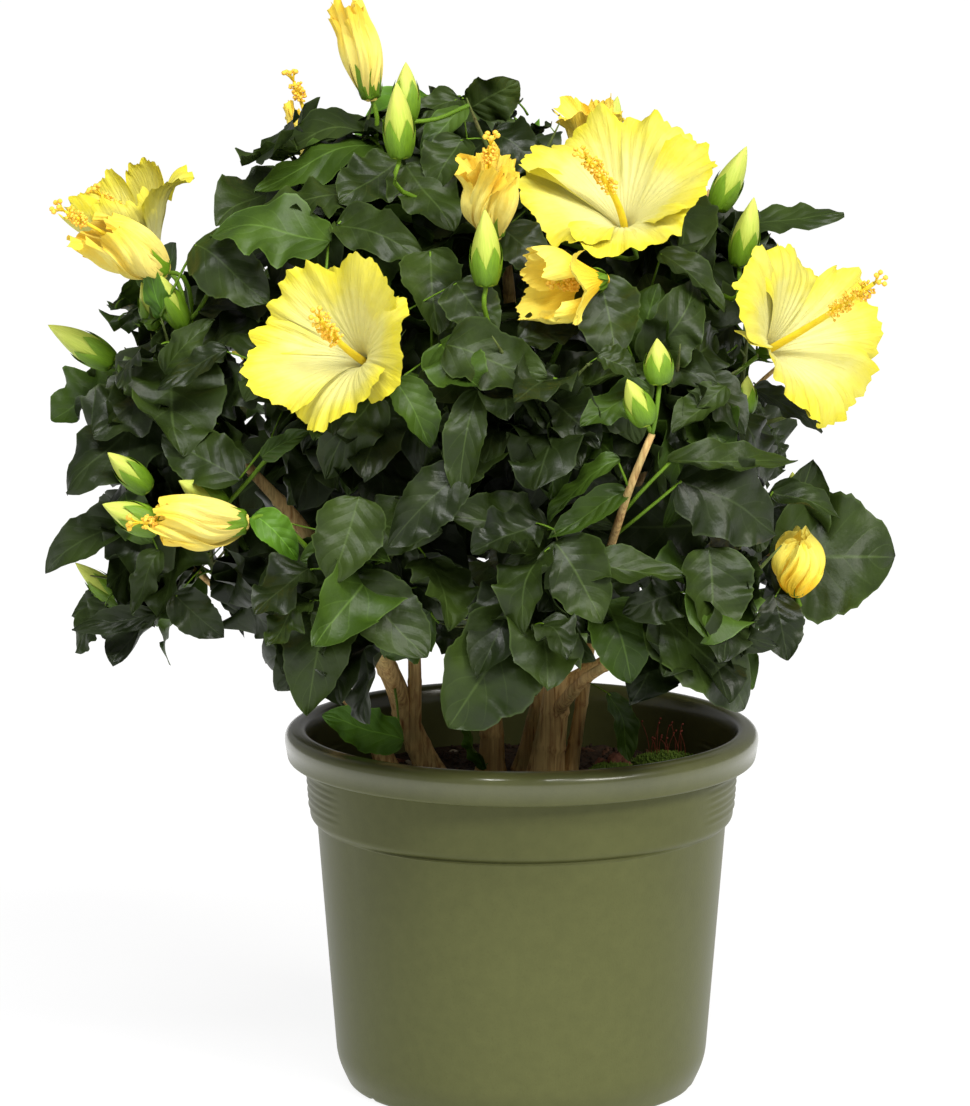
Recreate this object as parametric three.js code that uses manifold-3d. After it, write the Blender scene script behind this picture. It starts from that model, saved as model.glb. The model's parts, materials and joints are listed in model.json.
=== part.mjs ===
// A hibiscus shrub in a round nursery planter: the pot with its soil, the stems and boughs,
// and the crown as eighteen foliage masses with their blooms and buds. Millimetres, +Z up,
// origin at the centre of the pot's flat underside, the showy side towards -Y.
import * as THREE from 'three';
import { mergeVertices } from 'three/addons/utils/BufferGeometryUtils.js';
import Module from 'manifold-3d';

const wasm = await Module();
wasm.setup();

// ---------- driving sizes ----------
const GAP = 0.3; // clearance between neighbouring solids
const TURN = Math.PI * 2;
const GOLDEN = 2.399963; // angle between one leaf and the next round a shoot

const POT_HEIGHT = 259.5;
const RIM_RADIUS = 170;
const RIM_DROP = 26.5; // height of the rolled rim
const COLLAR_RADIUS = 152.5;
const COLLAR_BOTTOM = 195;
const WAIST_RADIUS = 145.5; // wall just under the collar
const FOOT_RADIUS = 131.5;
const BASE_RADIUS = 122; // flat underside
const WALL = 3;
const POT_SIDES = 40;
const NOTCHES = 8; // drain notches round the foot

const SOIL_TOP = 219.7;
const STEM_FOOT = SOIL_TOP + GAP;
const CROWN_CENTRE = [-35, 0, 430];
const CROWN_FLOOR = 306; // no leaf hangs lower than this
const LIGHT = [0, -0.4, 0.45]; // leaves also turn a little this way

const LEAF_LENGTH = 86; // blade of a full-grown leaf
const LEAF_WIDTH = 0.8; // share of the length
const LEAF_THICK = 2;
const STALK_SHARE = 0.24; // leaf stalk, share of the blade
const STEM_SIDES = 7;
const STEM_STEPS = 7;
const TWIG_RADIUS = 2.3;
const TWIGS = 4; // side twigs in a mass
const LEAVES = 7; // leaves tried on a twig
const TRIES = 20; // placings tried for each leaf
const LEAF_APART = 10; // between one leaf and the next

// ---------- the shrub's plan ----------
// Foliage masses: name, centre, reach.
const MASSES = [
  ['leaves_right_low', [180, -62, 398], 104],
  ['leaves_front_right_low', [114, -165, 378], 108],
  ['leaves_front_low', [2, -198, 384], 108],
  ['leaves_front_left_low', [-112, -172, 378], 110],
  ['leaves_left_low', [-240, -68, 392], 114],
  ['leaves_back_left_low', [-140, 130, 384], 126],
  ['leaves_back_right_low', [70, 165, 384], 126],
  ['leaves_right_middle', [162, -30, 506], 108],
  ['leaves_front_right_middle', [100, -140, 506], 112],
  ['leaves_front_middle', [4, -186, 516], 108],
  ['leaves_front_left_middle', [-100, -150, 512], 114],
  ['leaves_left_middle', [-230, -60, 502], 126],
  ['leaves_back_left_middle', [-146, 126, 524], 124],
  ['leaves_back_right_middle', [78, 140, 520], 122],
  ['leaves_top_left', [-114, -50, 624], 104],
  ['leaves_top_middle', [-14, -70, 632], 104],
  ['leaves_top_right', [108, -18, 600], 110],
  ['leaves_top_back', [-36, 72, 622], 106],
].map(([name, centre, reach]) => ({ name, centre, reach }));

// Stems rise from the soil; boughs leave a parent limb at a share of its length. Each runs
// through its via points to the edge of the mass it carries.
const LIMBS = [
  stem('stem_left', 'left_middle', 10, [-62, -5], [[-80, -10, 262], [-97, -18, 308], [-150, -28, 400]]),
  stem('stem_far_left', 'left_low', 7.5, [-93, 12], [[-110, 4, 262], [-134, -6, 292], [-172, -28, 330]]),
  stem('stem_stub', 'back_left_middle', 9.5, [-22, 18], [[-22, 16, 262], [-36, 30, 350], [-80, 76, 440]]),
  stem('stem_rear', 'back_right_middle', 8, [2, 24], [[14, 24, 275], [30, 50, 370], [50, 90, 445]]),
  stem('stem_centre', 'top_middle', 11.5, [16, -3], [[25, -9, 290], [21, -16, 345], [0, -30, 470]]),
  stem('stem_thin', 'top_right', 5, [34, 8], [[45, 6, 290], [58, 2, 400], [75, 0, 500]]),
  bough('bough_shoot', 'top_left', 5.5, 'stem_left', 0.2, [[-76, -18, 315], [-82, -26, 430], [-104, -40, 530]]),
  bough('bough_cane', 'front_right_middle', 6, 'stem_centre', 0.31, [[40, -66, 350], [62, -106, 410]]),
  bough('bough_front_middle', 'front_middle', 5, 'stem_centre', 0.52, [[12, -66, 408], [8, -108, 450]]),
  bough('bough_right_low', 'right_low', 6, 'stem_centre', 0.24, [[72, -24, 316], [120, -44, 340]]),
  bough('bough_front_right', 'front_right_low', 5, 'stem_centre', 0.17, [[44, -58, 304], [72, -100, 330]]),
  bough('bough_front_low', 'front_low', 5.5, 'stem_centre', 0.39, [[12, -70, 350], [4, -110, 362]]),
  bough('bough_front_left', 'front_left_low', 5.5, 'stem_left', 0.33, [[-98, -66, 325], [-106, -104, 340]]),
  bough('bough_back_left', 'back_left_low', 6, 'stem_stub', 0.22, [[-52, 52, 308], [-88, 84, 338]]),
  bough('bough_back_right', 'back_right_low', 6, 'stem_rear', 0.2, [[30, 66, 305], [48, 104, 335]]),
  bough('bough_right_middle', 'right_middle', 5, 'stem_thin', 0.35, [[86, -6, 400], [118, -14, 450]]),
  bough('bough_front_left_middle', 'front_left_middle', 6, 'stem_left', 0.5, [[-108, -58, 385], [-104, -94, 432]]),
  bough('bough_top_back', 'top_back', 5.5, 'stem_stub', 0.5, [[-42, 60, 450], [-40, 70, 530]]),
];

// Blossom: kind, foot of the flower (where its stalk ends), the way it points, its radius,
// and for an open flower how deep its cup is as a share of that.
const BLOSSOM = [
  ['open', [-101, -200, 542], [-0.46, -0.78, 0.42], 60, 1.0],
  ['open', [70, -118, 624], [-0.1, -0.62, 0.78], 67, 0.98],
  ['open', [155, -96, 528], [0.72, -0.48, 0.5], 66, 0.94],
  ['open', [-246, -62, 598], [-0.45, 0.04, 0.89], 46, 1.5],
  ['open', [-142, 212, 494], [-0.4, 0.82, 0.42], 60, 0.9],
  ['open', [70, 205, 554], [0.2, 0.82, 0.5], 62, 0.9],
  ['rolled', [48, -52, 646], [0.05, -0.05, 1], 20],
  ['rolled', [-104, -66, 712], [-0.16, -0.1, 0.98], 25],
  ['rolled', [-245, -108, 598], [-0.72, -0.4, 0.56], 24],
  ['rolled', [-20, -186, 632], [-0.12, -0.3, 0.95], 20],
  ['open', [34, -214, 600], [-0.3, -0.92, 0.24], 34, 1.2],
  ['rolled', [-186, -200, 441], [-0.97, -0.22, 0.02], 22],
  ['rolled', [187, -142, 380], [0.05, -0.25, 0.95], 16],
  ['rolled', [-146, 20, 655], [-0.1, 0, 1], 16],
  ['rolled', [-230, 120, 470], [-0.9, 0.4, 0.1], 22],
  ['rolled', [122, 214, 432], [0.4, 0.85, 0.3], 22],
  ['bud', [-83, -146, 680], [-0.05, -0.1, 1], 15],
  ['bud', [-25, -225, 604], [-0.02, -0.12, 1], 15],
  ['bud', [134, -42, 632], [0.42, 0, 0.9], 14],
  ['bud', [148, -100, 600], [0.2, 0, 0.97], 14],
  ['bud', [-283, -62, 528], [-0.84, -0.1, 0.52], 15],
  ['bud', [60, 120, 650], [0.2, 0.3, 0.92], 13],
  ['bud', [-60, 225, 590], [-0.1, 0.6, 0.8], 13],
].map(([kind, foot, way, size, cup]) => ({ kind, foot, way: unit(way), size, cup }));

function stem(name, carries, radius, [x, y], via) {
  return { name, mass: massNamed(carries), radius, start: [x, y, STEM_FOOT], via };
}

function bough(name, carries, radius, parent, share, via) {
  return { name, mass: massNamed(carries), radius, parent, share, via };
}

function massNamed(place) {
  return MASSES.find((mass) => mass.name === `leaves_${place}`);
}

// ---------- vectors, curves and chance ----------
function add(a, b) {
  return [a[0] + b[0], a[1] + b[1], a[2] + b[2]];
}

function scale(a, k) {
  return [a[0] * k, a[1] * k, a[2] * k];
}

function step(a, way, k) {
  return [a[0] + way[0] * k, a[1] + way[1] * k, a[2] + way[2] * k];
}

function less(a, b) {
  return [a[0] - b[0], a[1] - b[1], a[2] - b[2]];
}

function dot(a, b) {
  return a[0] * b[0] + a[1] * b[1] + a[2] * b[2];
}

function cross(a, b) {
  return [a[1] * b[2] - a[2] * b[1], a[2] * b[0] - a[0] * b[2], a[0] * b[1] - a[1] * b[0]];
}

function size(a) {
  return Math.sqrt(dot(a, a));
}

function unit(a) {
  return scale(a, 1 / Math.max(size(a), 1e-9));
}

// Two directions square to a way and to each other.
function across(way) {
  const helper = Math.abs(way[2]) < 0.9 ? [0, 0, 1] : [1, 0, 0];
  const one = unit(cross(helper, way));
  return [one, cross(way, one)];
}

// The direction square to a way, at an angle round it.
function around(way, angle) {
  const [one, two] = across(way);
  return add(scale(one, Math.cos(angle)), scale(two, Math.sin(angle)));
}

// Numbers from 0 to 1 in an order fixed by the seed.
function dice(seed) {
  let state = (seed * 7919 + 12345) % 4294967296;
  for (let i = 0; i < 3; i++) {
    state = (state * 1664525 + 1013904223) % 4294967296;
  }
  return () => {
    state = (state * 1664525 + 1013904223) % 4294967296;
    return state / 4294967296;
  };
}

// A smooth curve through points, the share t from 0 to 1 of the way.
function curvePoint(points, t) {
  const place = Math.min(Math.max(t, 0), 1) * (points.length - 1);
  const i = Math.min(Math.floor(place), points.length - 2);
  const f = place - i;
  const b = points[i];
  const c = points[i + 1];
  const a = i > 0 ? points[i - 1] : less(scale(b, 2), c);
  const d = i + 2 < points.length ? points[i + 2] : less(scale(c, 2), b);
  return [0, 1, 2].map((k) => {
    const bend = 2 * a[k] - 5 * b[k] + 4 * c[k] - d[k];
    const twist = 3 * b[k] - a[k] - 3 * c[k] + d[k];
    return b[k] + 0.5 * f * (c[k] - a[k] + f * (bend + f * twist));
  });
}

function curveWay(points, t) {
  const low = Math.max(t - 0.02, 0);
  const high = Math.min(t + 0.02, 1);
  return unit(less(curvePoint(points, high), curvePoint(points, low)));
}

// ---------- solids ----------
function solidFrom(vertices, triangles) {
  const vertProperties = new Float32Array(vertices.flat());
  const triVerts = new Uint32Array(triangles.flat());
  return new wasm.Manifold(new wasm.Mesh({ numProp: 3, vertProperties, triVerts }));
}

function fromGeometry(source) {
  const bare = source.clone();
  bare.deleteAttribute('normal');
  bare.deleteAttribute('uv');
  const clean = mergeVertices(bare, 1e-4);
  const vertProperties = new Float32Array(clean.attributes.position.array);
  const triVerts = new Uint32Array(clean.index.array);
  return new wasm.Manifold(new wasm.Mesh({ numProp: 3, vertProperties, triVerts }));
}

function toGeometry(solid) {
  const mesh = solid.getMesh();
  const geometry = new THREE.BufferGeometry();
  geometry.setAttribute('position', new THREE.BufferAttribute(mesh.vertProperties, 3));
  geometry.setIndex(new THREE.BufferAttribute(mesh.triVerts, 1));
  geometry.computeVertexNormals();
  return geometry;
}

// The one main body of a solid: sealed hollows are filled and loose scraps dropped.
function mainBody(solid) {
  const bodies = solid.decompose();
  return bodies.reduce((a, b) => (b.volume() > a.volume() ? b : a));
}

function fuse(solids) {
  return mainBody(wasm.Manifold.union(solids));
}

// Rings of equal count joined in order, with flat ends.
function loft(rings) {
  const count = rings[0].length;
  const vertices = rings.flat();
  const triangles = [];
  for (let r = 0; r + 1 < rings.length; r++) {
    for (let s = 0; s < count; s++) {
      const a = r * count + s;
      const b = r * count + ((s + 1) % count);
      triangles.push([a, b, b + count], [a, b + count, a + count]);
    }
  }
  const last = (rings.length - 1) * count;
  for (let s = 1; s + 1 < count; s++) {
    triangles.push([0, s + 1, s], [last, last + s, last + s + 1]);
  }
  return solidFrom(vertices, triangles);
}

// A round limb along a curve; radiusAt gives the radius at each share of the way. The frame
// is carried from ring to ring so that the limb does not twist. A standing limb is cut flat.
function limbSolid(points, radiusAt, sides, steps, standing) {
  const rings = [];
  let side = null;
  for (let i = 0; i <= steps; i++) {
    const t = i / steps;
    const way = standing && i === 0 ? [0, 0, 1] : curveWay(points, t);
    const seed = side || [1, 0.2, 0.1];
    side = unit(step(seed, way, -dot(seed, way)));
    const other = cross(way, side);
    const middle = curvePoint(points, t);
    const radius = radiusAt(t);
    const ring = [];
    for (let s = 0; s < sides; s++) {
      const angle = (TURN * s) / sides;
      const out = add(scale(side, Math.cos(angle) * radius), scale(other, Math.sin(angle) * radius));
      ring.push(add(middle, out));
    }
    rings.push(ring);
  }
  return loft(rings);
}

// A three-sided twig: pointed where it starts inside its parent, and at its tip.
function twigSolid(points, radius) {
  const length = size(less(points[points.length - 1], points[0]));
  const stations = [Math.min(3 / length, 0.2), 0.55, 0.93];
  const vertices = [points[0]];
  for (const [k, t] of stations.entries()) {
    const way = curveWay(points, t);
    for (let s = 0; s < 3; s++) {
      vertices.push(step(curvePoint(points, t), around(way, (TURN * s) / 3), radius * (1 - 0.2 * k)));
    }
  }
  vertices.push(points[points.length - 1]);
  const end = vertices.length - 1;
  const triangles = [];
  for (let s = 0; s < 3; s++) {
    const n = (s + 1) % 3;
    triangles.push([0, 1 + n, 1 + s], [end, end - 3 + s, end - 3 + n]);
    for (let a = 1 + s, b = 1 + n; a + 3 < end; a += 3, b += 3) {
      triangles.push([a, b, b + 3], [a, b + 3, a + 3]);
    }
  }
  return solidFrom(vertices, triangles);
}

// ---------- pot and soil ----------
function potProfile() {
  const rimFoot = POT_HEIGHT - RIM_DROP;
  return [
    [0, 0],
    [BASE_RADIUS, 0],
    [BASE_RADIUS + 5.5, 3.5],
    [FOOT_RADIUS, 20],
    [WAIST_RADIUS, COLLAR_BOTTOM - 9],
    [COLLAR_RADIUS - 1, COLLAR_BOTTOM + 2],
    [COLLAR_RADIUS + 1, rimFoot],
    [RIM_RADIUS - 8, rimFoot],
    [RIM_RADIUS - 1.5, rimFoot + 6],
    [RIM_RADIUS, rimFoot + 14],
    [RIM_RADIUS - 4, POT_HEIGHT - 3.5],
    [RIM_RADIUS - 11.5, POT_HEIGHT],
    [RIM_RADIUS - 17, POT_HEIGHT - 2.5],
    [RIM_RADIUS - 19, POT_HEIGHT - 10],
    [COLLAR_RADIUS - WALL - 1, COLLAR_BOTTOM],
    [WAIST_RADIUS - WALL, COLLAR_BOTTOM - 10],
    [FOOT_RADIUS - WALL, 20],
    [BASE_RADIUS - 1, WALL],
    [0, WALL],
  ];
}

function turned(profile, sides) {
  const points = profile.map(([r, z]) => new THREE.Vector2(r, z));
  return fromGeometry(new THREE.LatheGeometry(points, sides).rotateX(Math.PI / 2));
}

function makePot() {
  let pot = turned(potProfile(), POT_SIDES);
  for (let i = 0; i < NOTCHES; i++) {
    const angle = (TURN * (i + 0.66)) / NOTCHES;
    const notch = new THREE.BoxGeometry(6, 13, 5);
    notch.translate(BASE_RADIUS + 5.5, 0, 0.5);
    notch.rotateZ(angle);
    pot = pot.subtract(fromGeometry(notch));
  }
  return mainBody(pot);
}

function innerRadius(z) {
  const share = (z - 20) / (COLLAR_BOTTOM - 30);
  return FOOT_RADIUS - WALL + (WAIST_RADIUS - FOOT_RADIUS) * share;
}

// The root ball fills the pot up to a few millimetres of crumbly dips.
function makeSoil() {
  const roll = dice(77);
  const sides = 24;
  const shelf = COLLAR_RADIUS - WALL - 1.8;
  const levels = [
    [BASE_RADIUS - 3, WALL + GAP],
    [innerRadius(20) - 1, 20],
    [innerRadius(COLLAR_BOTTOM - 12) - 1, COLLAR_BOTTOM - 12],
    [shelf, SOIL_TOP - 3],
    [shelf - 40, SOIL_TOP],
  ];
  const rings = levels.map(([radius, z], level) => {
    const ring = [];
    for (let s = 0; s < sides; s++) {
      const angle = (TURN * s) / sides;
      const dip = level === 3 ? roll() * 5 : 0;
      ring.push([radius * Math.cos(angle), radius * Math.sin(angle), z - dip]);
    }
    return ring;
  });
  return mainBody(loft(rings));
}

// A low cushion of moss on the soil.
function makeMoss(x, y, radius, height) {
  const rings = [1, 0.9, 0.5].map((share, level) => {
    const z = SOIL_TOP + GAP + height * [0, 0.5, 1][level];
    const ring = [];
    for (let s = 0; s < 12; s++) {
      const angle = (TURN * s) / 12;
      const swell = radius * share * (1 + 0.14 * Math.sin(angle * 3 + x));
      ring.push([x + swell * Math.cos(angle), y + swell * 0.72 * Math.sin(angle), z]);
    }
    return ring;
  });
  return loft(rings);
}

// ---------- stems and boughs ----------
// The last point stops short of the middle of the mass, where the limb enters the leaves.
function limbPath(limb, byName) {
  const mass = limb.mass;
  const parent = limb.parent ? byName[limb.parent] : null;
  const start = parent ? curvePoint(parent.path, limb.share) : limb.start;
  const before = limb.via[limb.via.length - 1];
  const end = step(mass.centre, unit(less(before, mass.centre)), mass.reach * 0.55);
  return [start, ...limb.via, end];
}

function limbRadius(limb, t) {
  const taper = limb.radius * (1 - 0.62 * t);
  const flare = limb.parent ? 1 : 1 + 0.32 * Math.exp(-t * 22);
  return Math.max(taper * flare, TWIG_RADIUS + 0.4);
}

function layOutLimbs() {
  const byName = {};
  for (const limb of LIMBS) {
    limb.path = limbPath(limb, byName);
    byName[limb.name] = limb;
    const way = curveWay(limb.path, 1);
    limb.mass.root = step(limb.path[limb.path.length - 1], way, GAP);
    limb.mass.way = way;
  }
  return byName;
}

// A bough is cut back so that it stands a hair clear of the limb that carries it.
function makeLimb(limb, byName) {
  const steps = limb.parent ? 5 : STEM_STEPS;
  const sides = limb.parent ? 5 : STEM_SIDES;
  const own = limbSolid(limb.path, (t) => limbRadius(limb, t), sides, steps, !limb.parent);
  if (!limb.parent) {
    return own;
  }
  const parent = byName[limb.parent];
  const grown = limbSolid(parent.path, (t) => limbRadius(parent, t) + GAP, STEM_SIDES,
    STEM_STEPS, true);
  return mainBody(own.subtract(grown));
}

// ---------- blossom ----------
// The flower's own frame: its way, and two directions square to it.
function flowerFrame(flower) {
  const [one, two] = across(flower.way);
  return (r, angle, h) => {
    const out = add(scale(one, Math.cos(angle) * r), scale(two, Math.sin(angle) * r));
    return add(add(flower.foot, out), scale(flower.way, h));
  };
}

// A closed shell of rings about the flower's way, from one tip to the other.
function spun(at, sides, levels, firstTip, lastTip) {
  const vertices = [at(0, 0, firstTip)];
  for (const level of levels) {
    for (let s = 0; s < sides; s++) {
      const angle = (TURN * s) / sides;
      const [r, h] = level(angle, s);
      vertices.push(at(r, angle, h));
    }
  }
  vertices.push(at(0, 0, lastTip));
  const triangles = [];
  const end = vertices.length - 1;
  const last = end - sides;
  for (let s = 0; s < sides; s++) {
    const n = (s + 1) % sides;
    triangles.push([0, 1 + n, 1 + s], [end, last + s, last + n]);
    for (let k = 0; k + 1 < levels.length; k++) {
      const a = 1 + k * sides + s;
      const b = 1 + k * sides + n;
      triangles.push([a, b, b + sides], [a, b + sides, a + sides]);
    }
  }
  return solidFrom(vertices, triangles);
}

// Five ruffled petals as one thin funnel, with the pollen column standing out of it.
function openFlower(flower) {
  const at = flowerFrame(flower);
  const R = flower.size;
  const ruffle = (angle) => 1 + 0.07 * Math.cos(angle * 5) + 0.03 * Math.sin(angle * 11);
  const flop = (angle) => 0.07 * R * Math.sin(angle * 5 + 1);
  const deep = R * flower.cup;
  const funnel = spun(at, 15, [
    () => [R * 0.24, deep * 0.36],
    (angle) => [R * ruffle(angle), deep + flop(angle)],
    () => [R * 0.5, deep * 0.74],
  ], 0, deep * 0.3);
  const column = spun(at, 4, [
    () => [2.4, deep * 0.4],
    () => [2.4, deep + R * 0.2],
    () => [6, deep + R * 0.5],
  ], deep * 0.25, deep + R * 0.74);
  return [funnel, column];
}

// A flower rolled up after its day, or not yet unfurled.
function rolledFlower(flower) {
  const at = flowerFrame(flower);
  const R = flower.size;
  const fold = (angle, k) => 1 + 0.16 * Math.cos(angle * 3 + k);
  return [spun(at, 6, [
    () => [R * 0.42, R * 0.3],
    (angle) => [R * 0.78 * fold(angle, 1), R * 2.0],
    (angle) => [R * 0.62 * fold(angle, 2), R * 2.9],
  ], 0, R * 3.25)];
}

function budSolid(flower) {
  const at = flowerFrame(flower);
  const R = flower.size;
  return [spun(at, 5, [
    () => [R * 0.76, R * 0.8],
    () => [R * 0.62, R * 2.2],
  ], 0, R * 3.6)];
}

const FLOWER_SOLIDS = { open: openFlower, rolled: rolledFlower, bud: budSolid };

// The room a flower keeps for itself, so that no leaf cuts or covers it.
function insideFlower(flower, point, margin) {
  const from = less(point, flower.foot);
  const h = dot(from, flower.way);
  const r = size(step(from, flower.way, -h));
  const R = flower.size;
  if (flower.kind === 'open') {
    const room = R * Math.min(1.1, 0.2 + (0.9 * Math.max(h, 0)) / (R * flower.cup)) + margin;
    return h > -margin && h < R * 2.6 && r < room;
  }
  const length = flower.kind === 'bud' ? R * 3.6 : R * 3.25;
  return h > -margin && h < length + 12 && r < R * 0.9 + margin;
}

// ---------- leaves ----------
function leafHalfWidth(u) {
  return Math.pow(Math.sin(Math.PI * Math.pow(u, 0.72)), 0.8) / 2;
}

// A leaf: its root in the twig, the foot of the blade, the way the blade runs and faces.
// Blades hang outwards and down, facing away from the middle of the crown and to the light.
function makeLeaf(root, petiole, outward, length, droop, turn) {
  const foot = step(root, petiole, length * STALK_SHARE);
  const way = unit([
    petiole[0] * 0.75 + outward[0] * 0.2,
    petiole[1] * 0.75 + outward[1] * 0.2,
    petiole[2] * 0.4 + outward[2] * 0.1 - droop,
  ]);
  const lit = add(scale(outward, 0.8), LIGHT);
  const face = unit(step(lit, cross(lit, [0, 0, 1]), turn));
  const up = unit(step(face, way, -dot(face, way)));
  const side = cross(way, up);
  return { root, foot, way, up, side, length, width: length * LEAF_WIDTH };
}

// The point of a leaf at the share u of its blade and v across it, with a drooping tip.
function leafPoint(leaf, u, v) {
  const half = leaf.width * leafHalfWidth(u);
  const sag = leaf.length * (0.1 * Math.sin(Math.PI * u) - 0.16 * u * u);
  const along = step(leaf.foot, leaf.way, leaf.length * u);
  const lift = step(along, leaf.up, sag + Math.abs(v) * half * 0.12);
  return step(lift, leaf.side, v * half);
}

function leafSamples(leaf) {
  const samples = [leaf.foot];
  for (const u of [0.1, 0.23, 0.36, 0.49, 0.62, 0.75, 0.88]) {
    for (const v of [-1, -0.5, 0, 0.5, 1]) {
      samples.push(leafPoint(leaf, u, v));
    }
  }
  samples.push(leafPoint(leaf, 1, 0));
  return samples;
}

// Twelve faces: a thin three-sided stalk rooted in the twig, then a blade on a shallow keel.
function leafSolid(leaf) {
  const broad = 0.42;
  const thin = 1.1;
  const vertices = [
    leaf.root,
    step(leaf.foot, leaf.side, -thin),
    step(leaf.foot, leaf.side, thin),
    step(leaf.foot, leaf.up, -LEAF_THICK),
    leafPoint(leaf, broad, -1.06),
    leafPoint(leaf, broad, 1.06),
    step(leafPoint(leaf, broad, 0), leaf.up, -LEAF_THICK),
    leafPoint(leaf, 1, 0),
  ];
  return solidFrom(vertices, [
    [0, 2, 1], [0, 1, 3], [0, 3, 2],
    [1, 2, 5], [1, 5, 4], [4, 5, 7],
    [1, 4, 6], [1, 6, 3], [3, 6, 5], [3, 5, 2],
    [4, 7, 6], [6, 7, 5],
  ]);
}

// ---------- the room each mass keeps ----------
function inMass(mass, point) {
  const from = less(point, mass.centre);
  if (size(from) > mass.reach || point[2] < CROWN_FLOOR) {
    return false;
  }
  return mass.walls.every(([normal, reach]) => dot(from, normal) < reach);
}

// Half-way planes towards every other mass, half a millimetre kept free.
function wallsOf(mass) {
  return MASSES.filter((other) => other !== mass).map((other) => {
    const apart = less(other.centre, mass.centre);
    return [unit(apart), size(apart) / 2 - 0.5];
  });
}

function limbSamples() {
  const beads = [];
  for (const limb of LIMBS) {
    for (let i = 0; i <= 60; i++) {
      const t = i / 60;
      beads.push([curvePoint(limb.path, t), limbRadius(limb, t)]);
    }
  }
  return beads;
}

function clearOfLimbs(beads, point, margin) {
  return beads.every(([middle, radius]) => size(less(point, middle)) > radius + margin);
}

// ---------- growing a mass ----------
function massSpine(mass) {
  const rise = step(mass.centre, unit(less(mass.centre, CROWN_CENTRE)), mass.reach * 0.32);
  const first = step(mass.root, mass.way, mass.reach * 0.22);
  return [mass.root, first, mass.centre, add(rise, [0, 0, mass.reach * 0.16])];
}

// A twig leaves the spine at the share t, leaning outwards, and is shortened until it fits.
function growTwig(mass, spine, i, key, beads) {
  const roll = dice(key);
  const t = 0.22 + (0.74 * (i + 0.5)) / TWIGS;
  const start = curvePoint(spine, t);
  const along = curveWay(spine, t);
  const angle = i * GOLDEN + roll() * 0.6 + key;
  const lean = 0.75 + 0.5 * roll();
  const outward = unit(less(start, CROWN_CENTRE));
  const way = unit(add(add(along, scale(around(along, angle), lean)), scale(outward, 0.35)));
  let length = mass.reach * (0.5 + 0.24 * roll());
  const lift = 0.1 + 0.16 * roll();
  for (let k = 0; k < 4; k++) {
    const end = add(step(start, way, length), [0, 0, length * lift]);
    const points = [start, step(start, way, length * 0.5), end];
    const fits = [0.4, 0.6, 0.8, 1].every((s) => twigFits(mass, curvePoint(points, s), beads));
    if (fits) {
      return points;
    }
    length *= 0.78;
  }
  return null;
}

function twigFits(mass, point, beads) {
  return inMass(mass, point)
    && clearOfLimbs(beads, point, 4)
    && !BLOSSOM.some((flower) => insideFlower(flower, point, 4));
}

// A leaf must keep to the mass's room and clear of limbs, flowers, twigs and other leaves.
function leafFits(mass, leaf, samples, beads, twig) {
  const clear = samples.every((point) => inMass(mass, point)
    && clearOfLimbs(beads, point, 5)
    && !BLOSSOM.some((flower) => insideFlower(flower, point, 3)));
  return clear
    && samples.slice(3).every((point) => clearOfWood(mass, point, 4))
    && samples.slice(6).every((point) => clearOfLeaves(mass, point));
}

function clearOfWood(mass, point, margin) {
  return mass.wood.every((bead) => size(less(point, bead)) > margin);
}

function clearOfLeaves(mass, point) {
  return mass.taken.every((other) => size(less(point, other)) > LEAF_APART);
}

// Leaves stand round a twig at the golden angle, closer together towards its tip.
function growLeaves(mass, twig, key, beads) {
  for (let j = 0; j < LEAVES; j++) {
    const share = 1 - 0.8 * Math.pow((LEAVES - 1 - j) / LEAVES, 1.15);
    const root = curvePoint(twig, share * 0.97);
    const along = curveWay(twig, share);
    const outward = unit(less(root, CROWN_CENTRE));
    for (let k = 0; k < TRIES; k++) {
      const roll = dice(key * 256 + j * 24 + k);
      const angle = j * GOLDEN + k * 1.7 + roll() * 0.9;
      const forward = 0.25 + 0.4 * roll();
      const side = around(along, angle);
      const petiole = unit(add(add(scale(along, forward), side), scale(outward, 0.35)));
      const length = LEAF_LENGTH * (0.8 + 0.36 * roll()) * (1 - 0.06 * k);
      const droop = 0.35 + 0.75 * roll();
      const leaf = makeLeaf(root, petiole, outward, length, droop, 1.2 * roll() - 0.6);
      const samples = leafSamples(leaf);
      if (leafFits(mass, leaf, samples, beads)) {
        mass.leaves.push(leaf);
        mass.taken.push(...samples.slice(6));
        break;
      }
    }
  }
}

function beadsAlong(points, count) {
  const beads = [];
  for (let i = 0; i <= count; i++) {
    beads.push(curvePoint(points, i / count));
  }
  return beads;
}

// The wood grows first: the spine, its twigs and the flower stalks. Then come the leaves.
function growMass(mass, m, beads) {
  mass.spine = massSpine(mass);
  mass.twigs = [];
  mass.leaves = [];
  mass.taken = [];
  for (let i = 0; i < TWIGS; i++) {
    const twig = growTwig(mass, mass.spine, i, 31 + m * 16 + i, beads);
    if (twig) {
      mass.twigs.push({ points: twig, key: 31 + m * 16 + i });
    }
  }
  mass.stalks = BLOSSOM.filter((flower) => flower.mass === mass).map(stalkOf);
  const lines = [mass.spine, ...mass.twigs.map((twig) => twig.points), ...mass.stalks];
  mass.wood = lines.flatMap((line) => beadsAlong(line, 30));
  for (const twig of mass.twigs) {
    growLeaves(mass, twig.points, twig.key, beads);
  }
  growLeaves(mass, mass.spine, 500 + m, beads);
}

// A flower's stalk runs from the nearest stretch of the spine into the foot of the flower.
function stalkOf(flower) {
  const spine = flower.mass.spine;
  const from = curvePoint(spine, 0.62);
  const before = step(flower.foot, flower.way, -22);
  return [from, before, step(flower.foot, flower.way, 4)];
}

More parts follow.
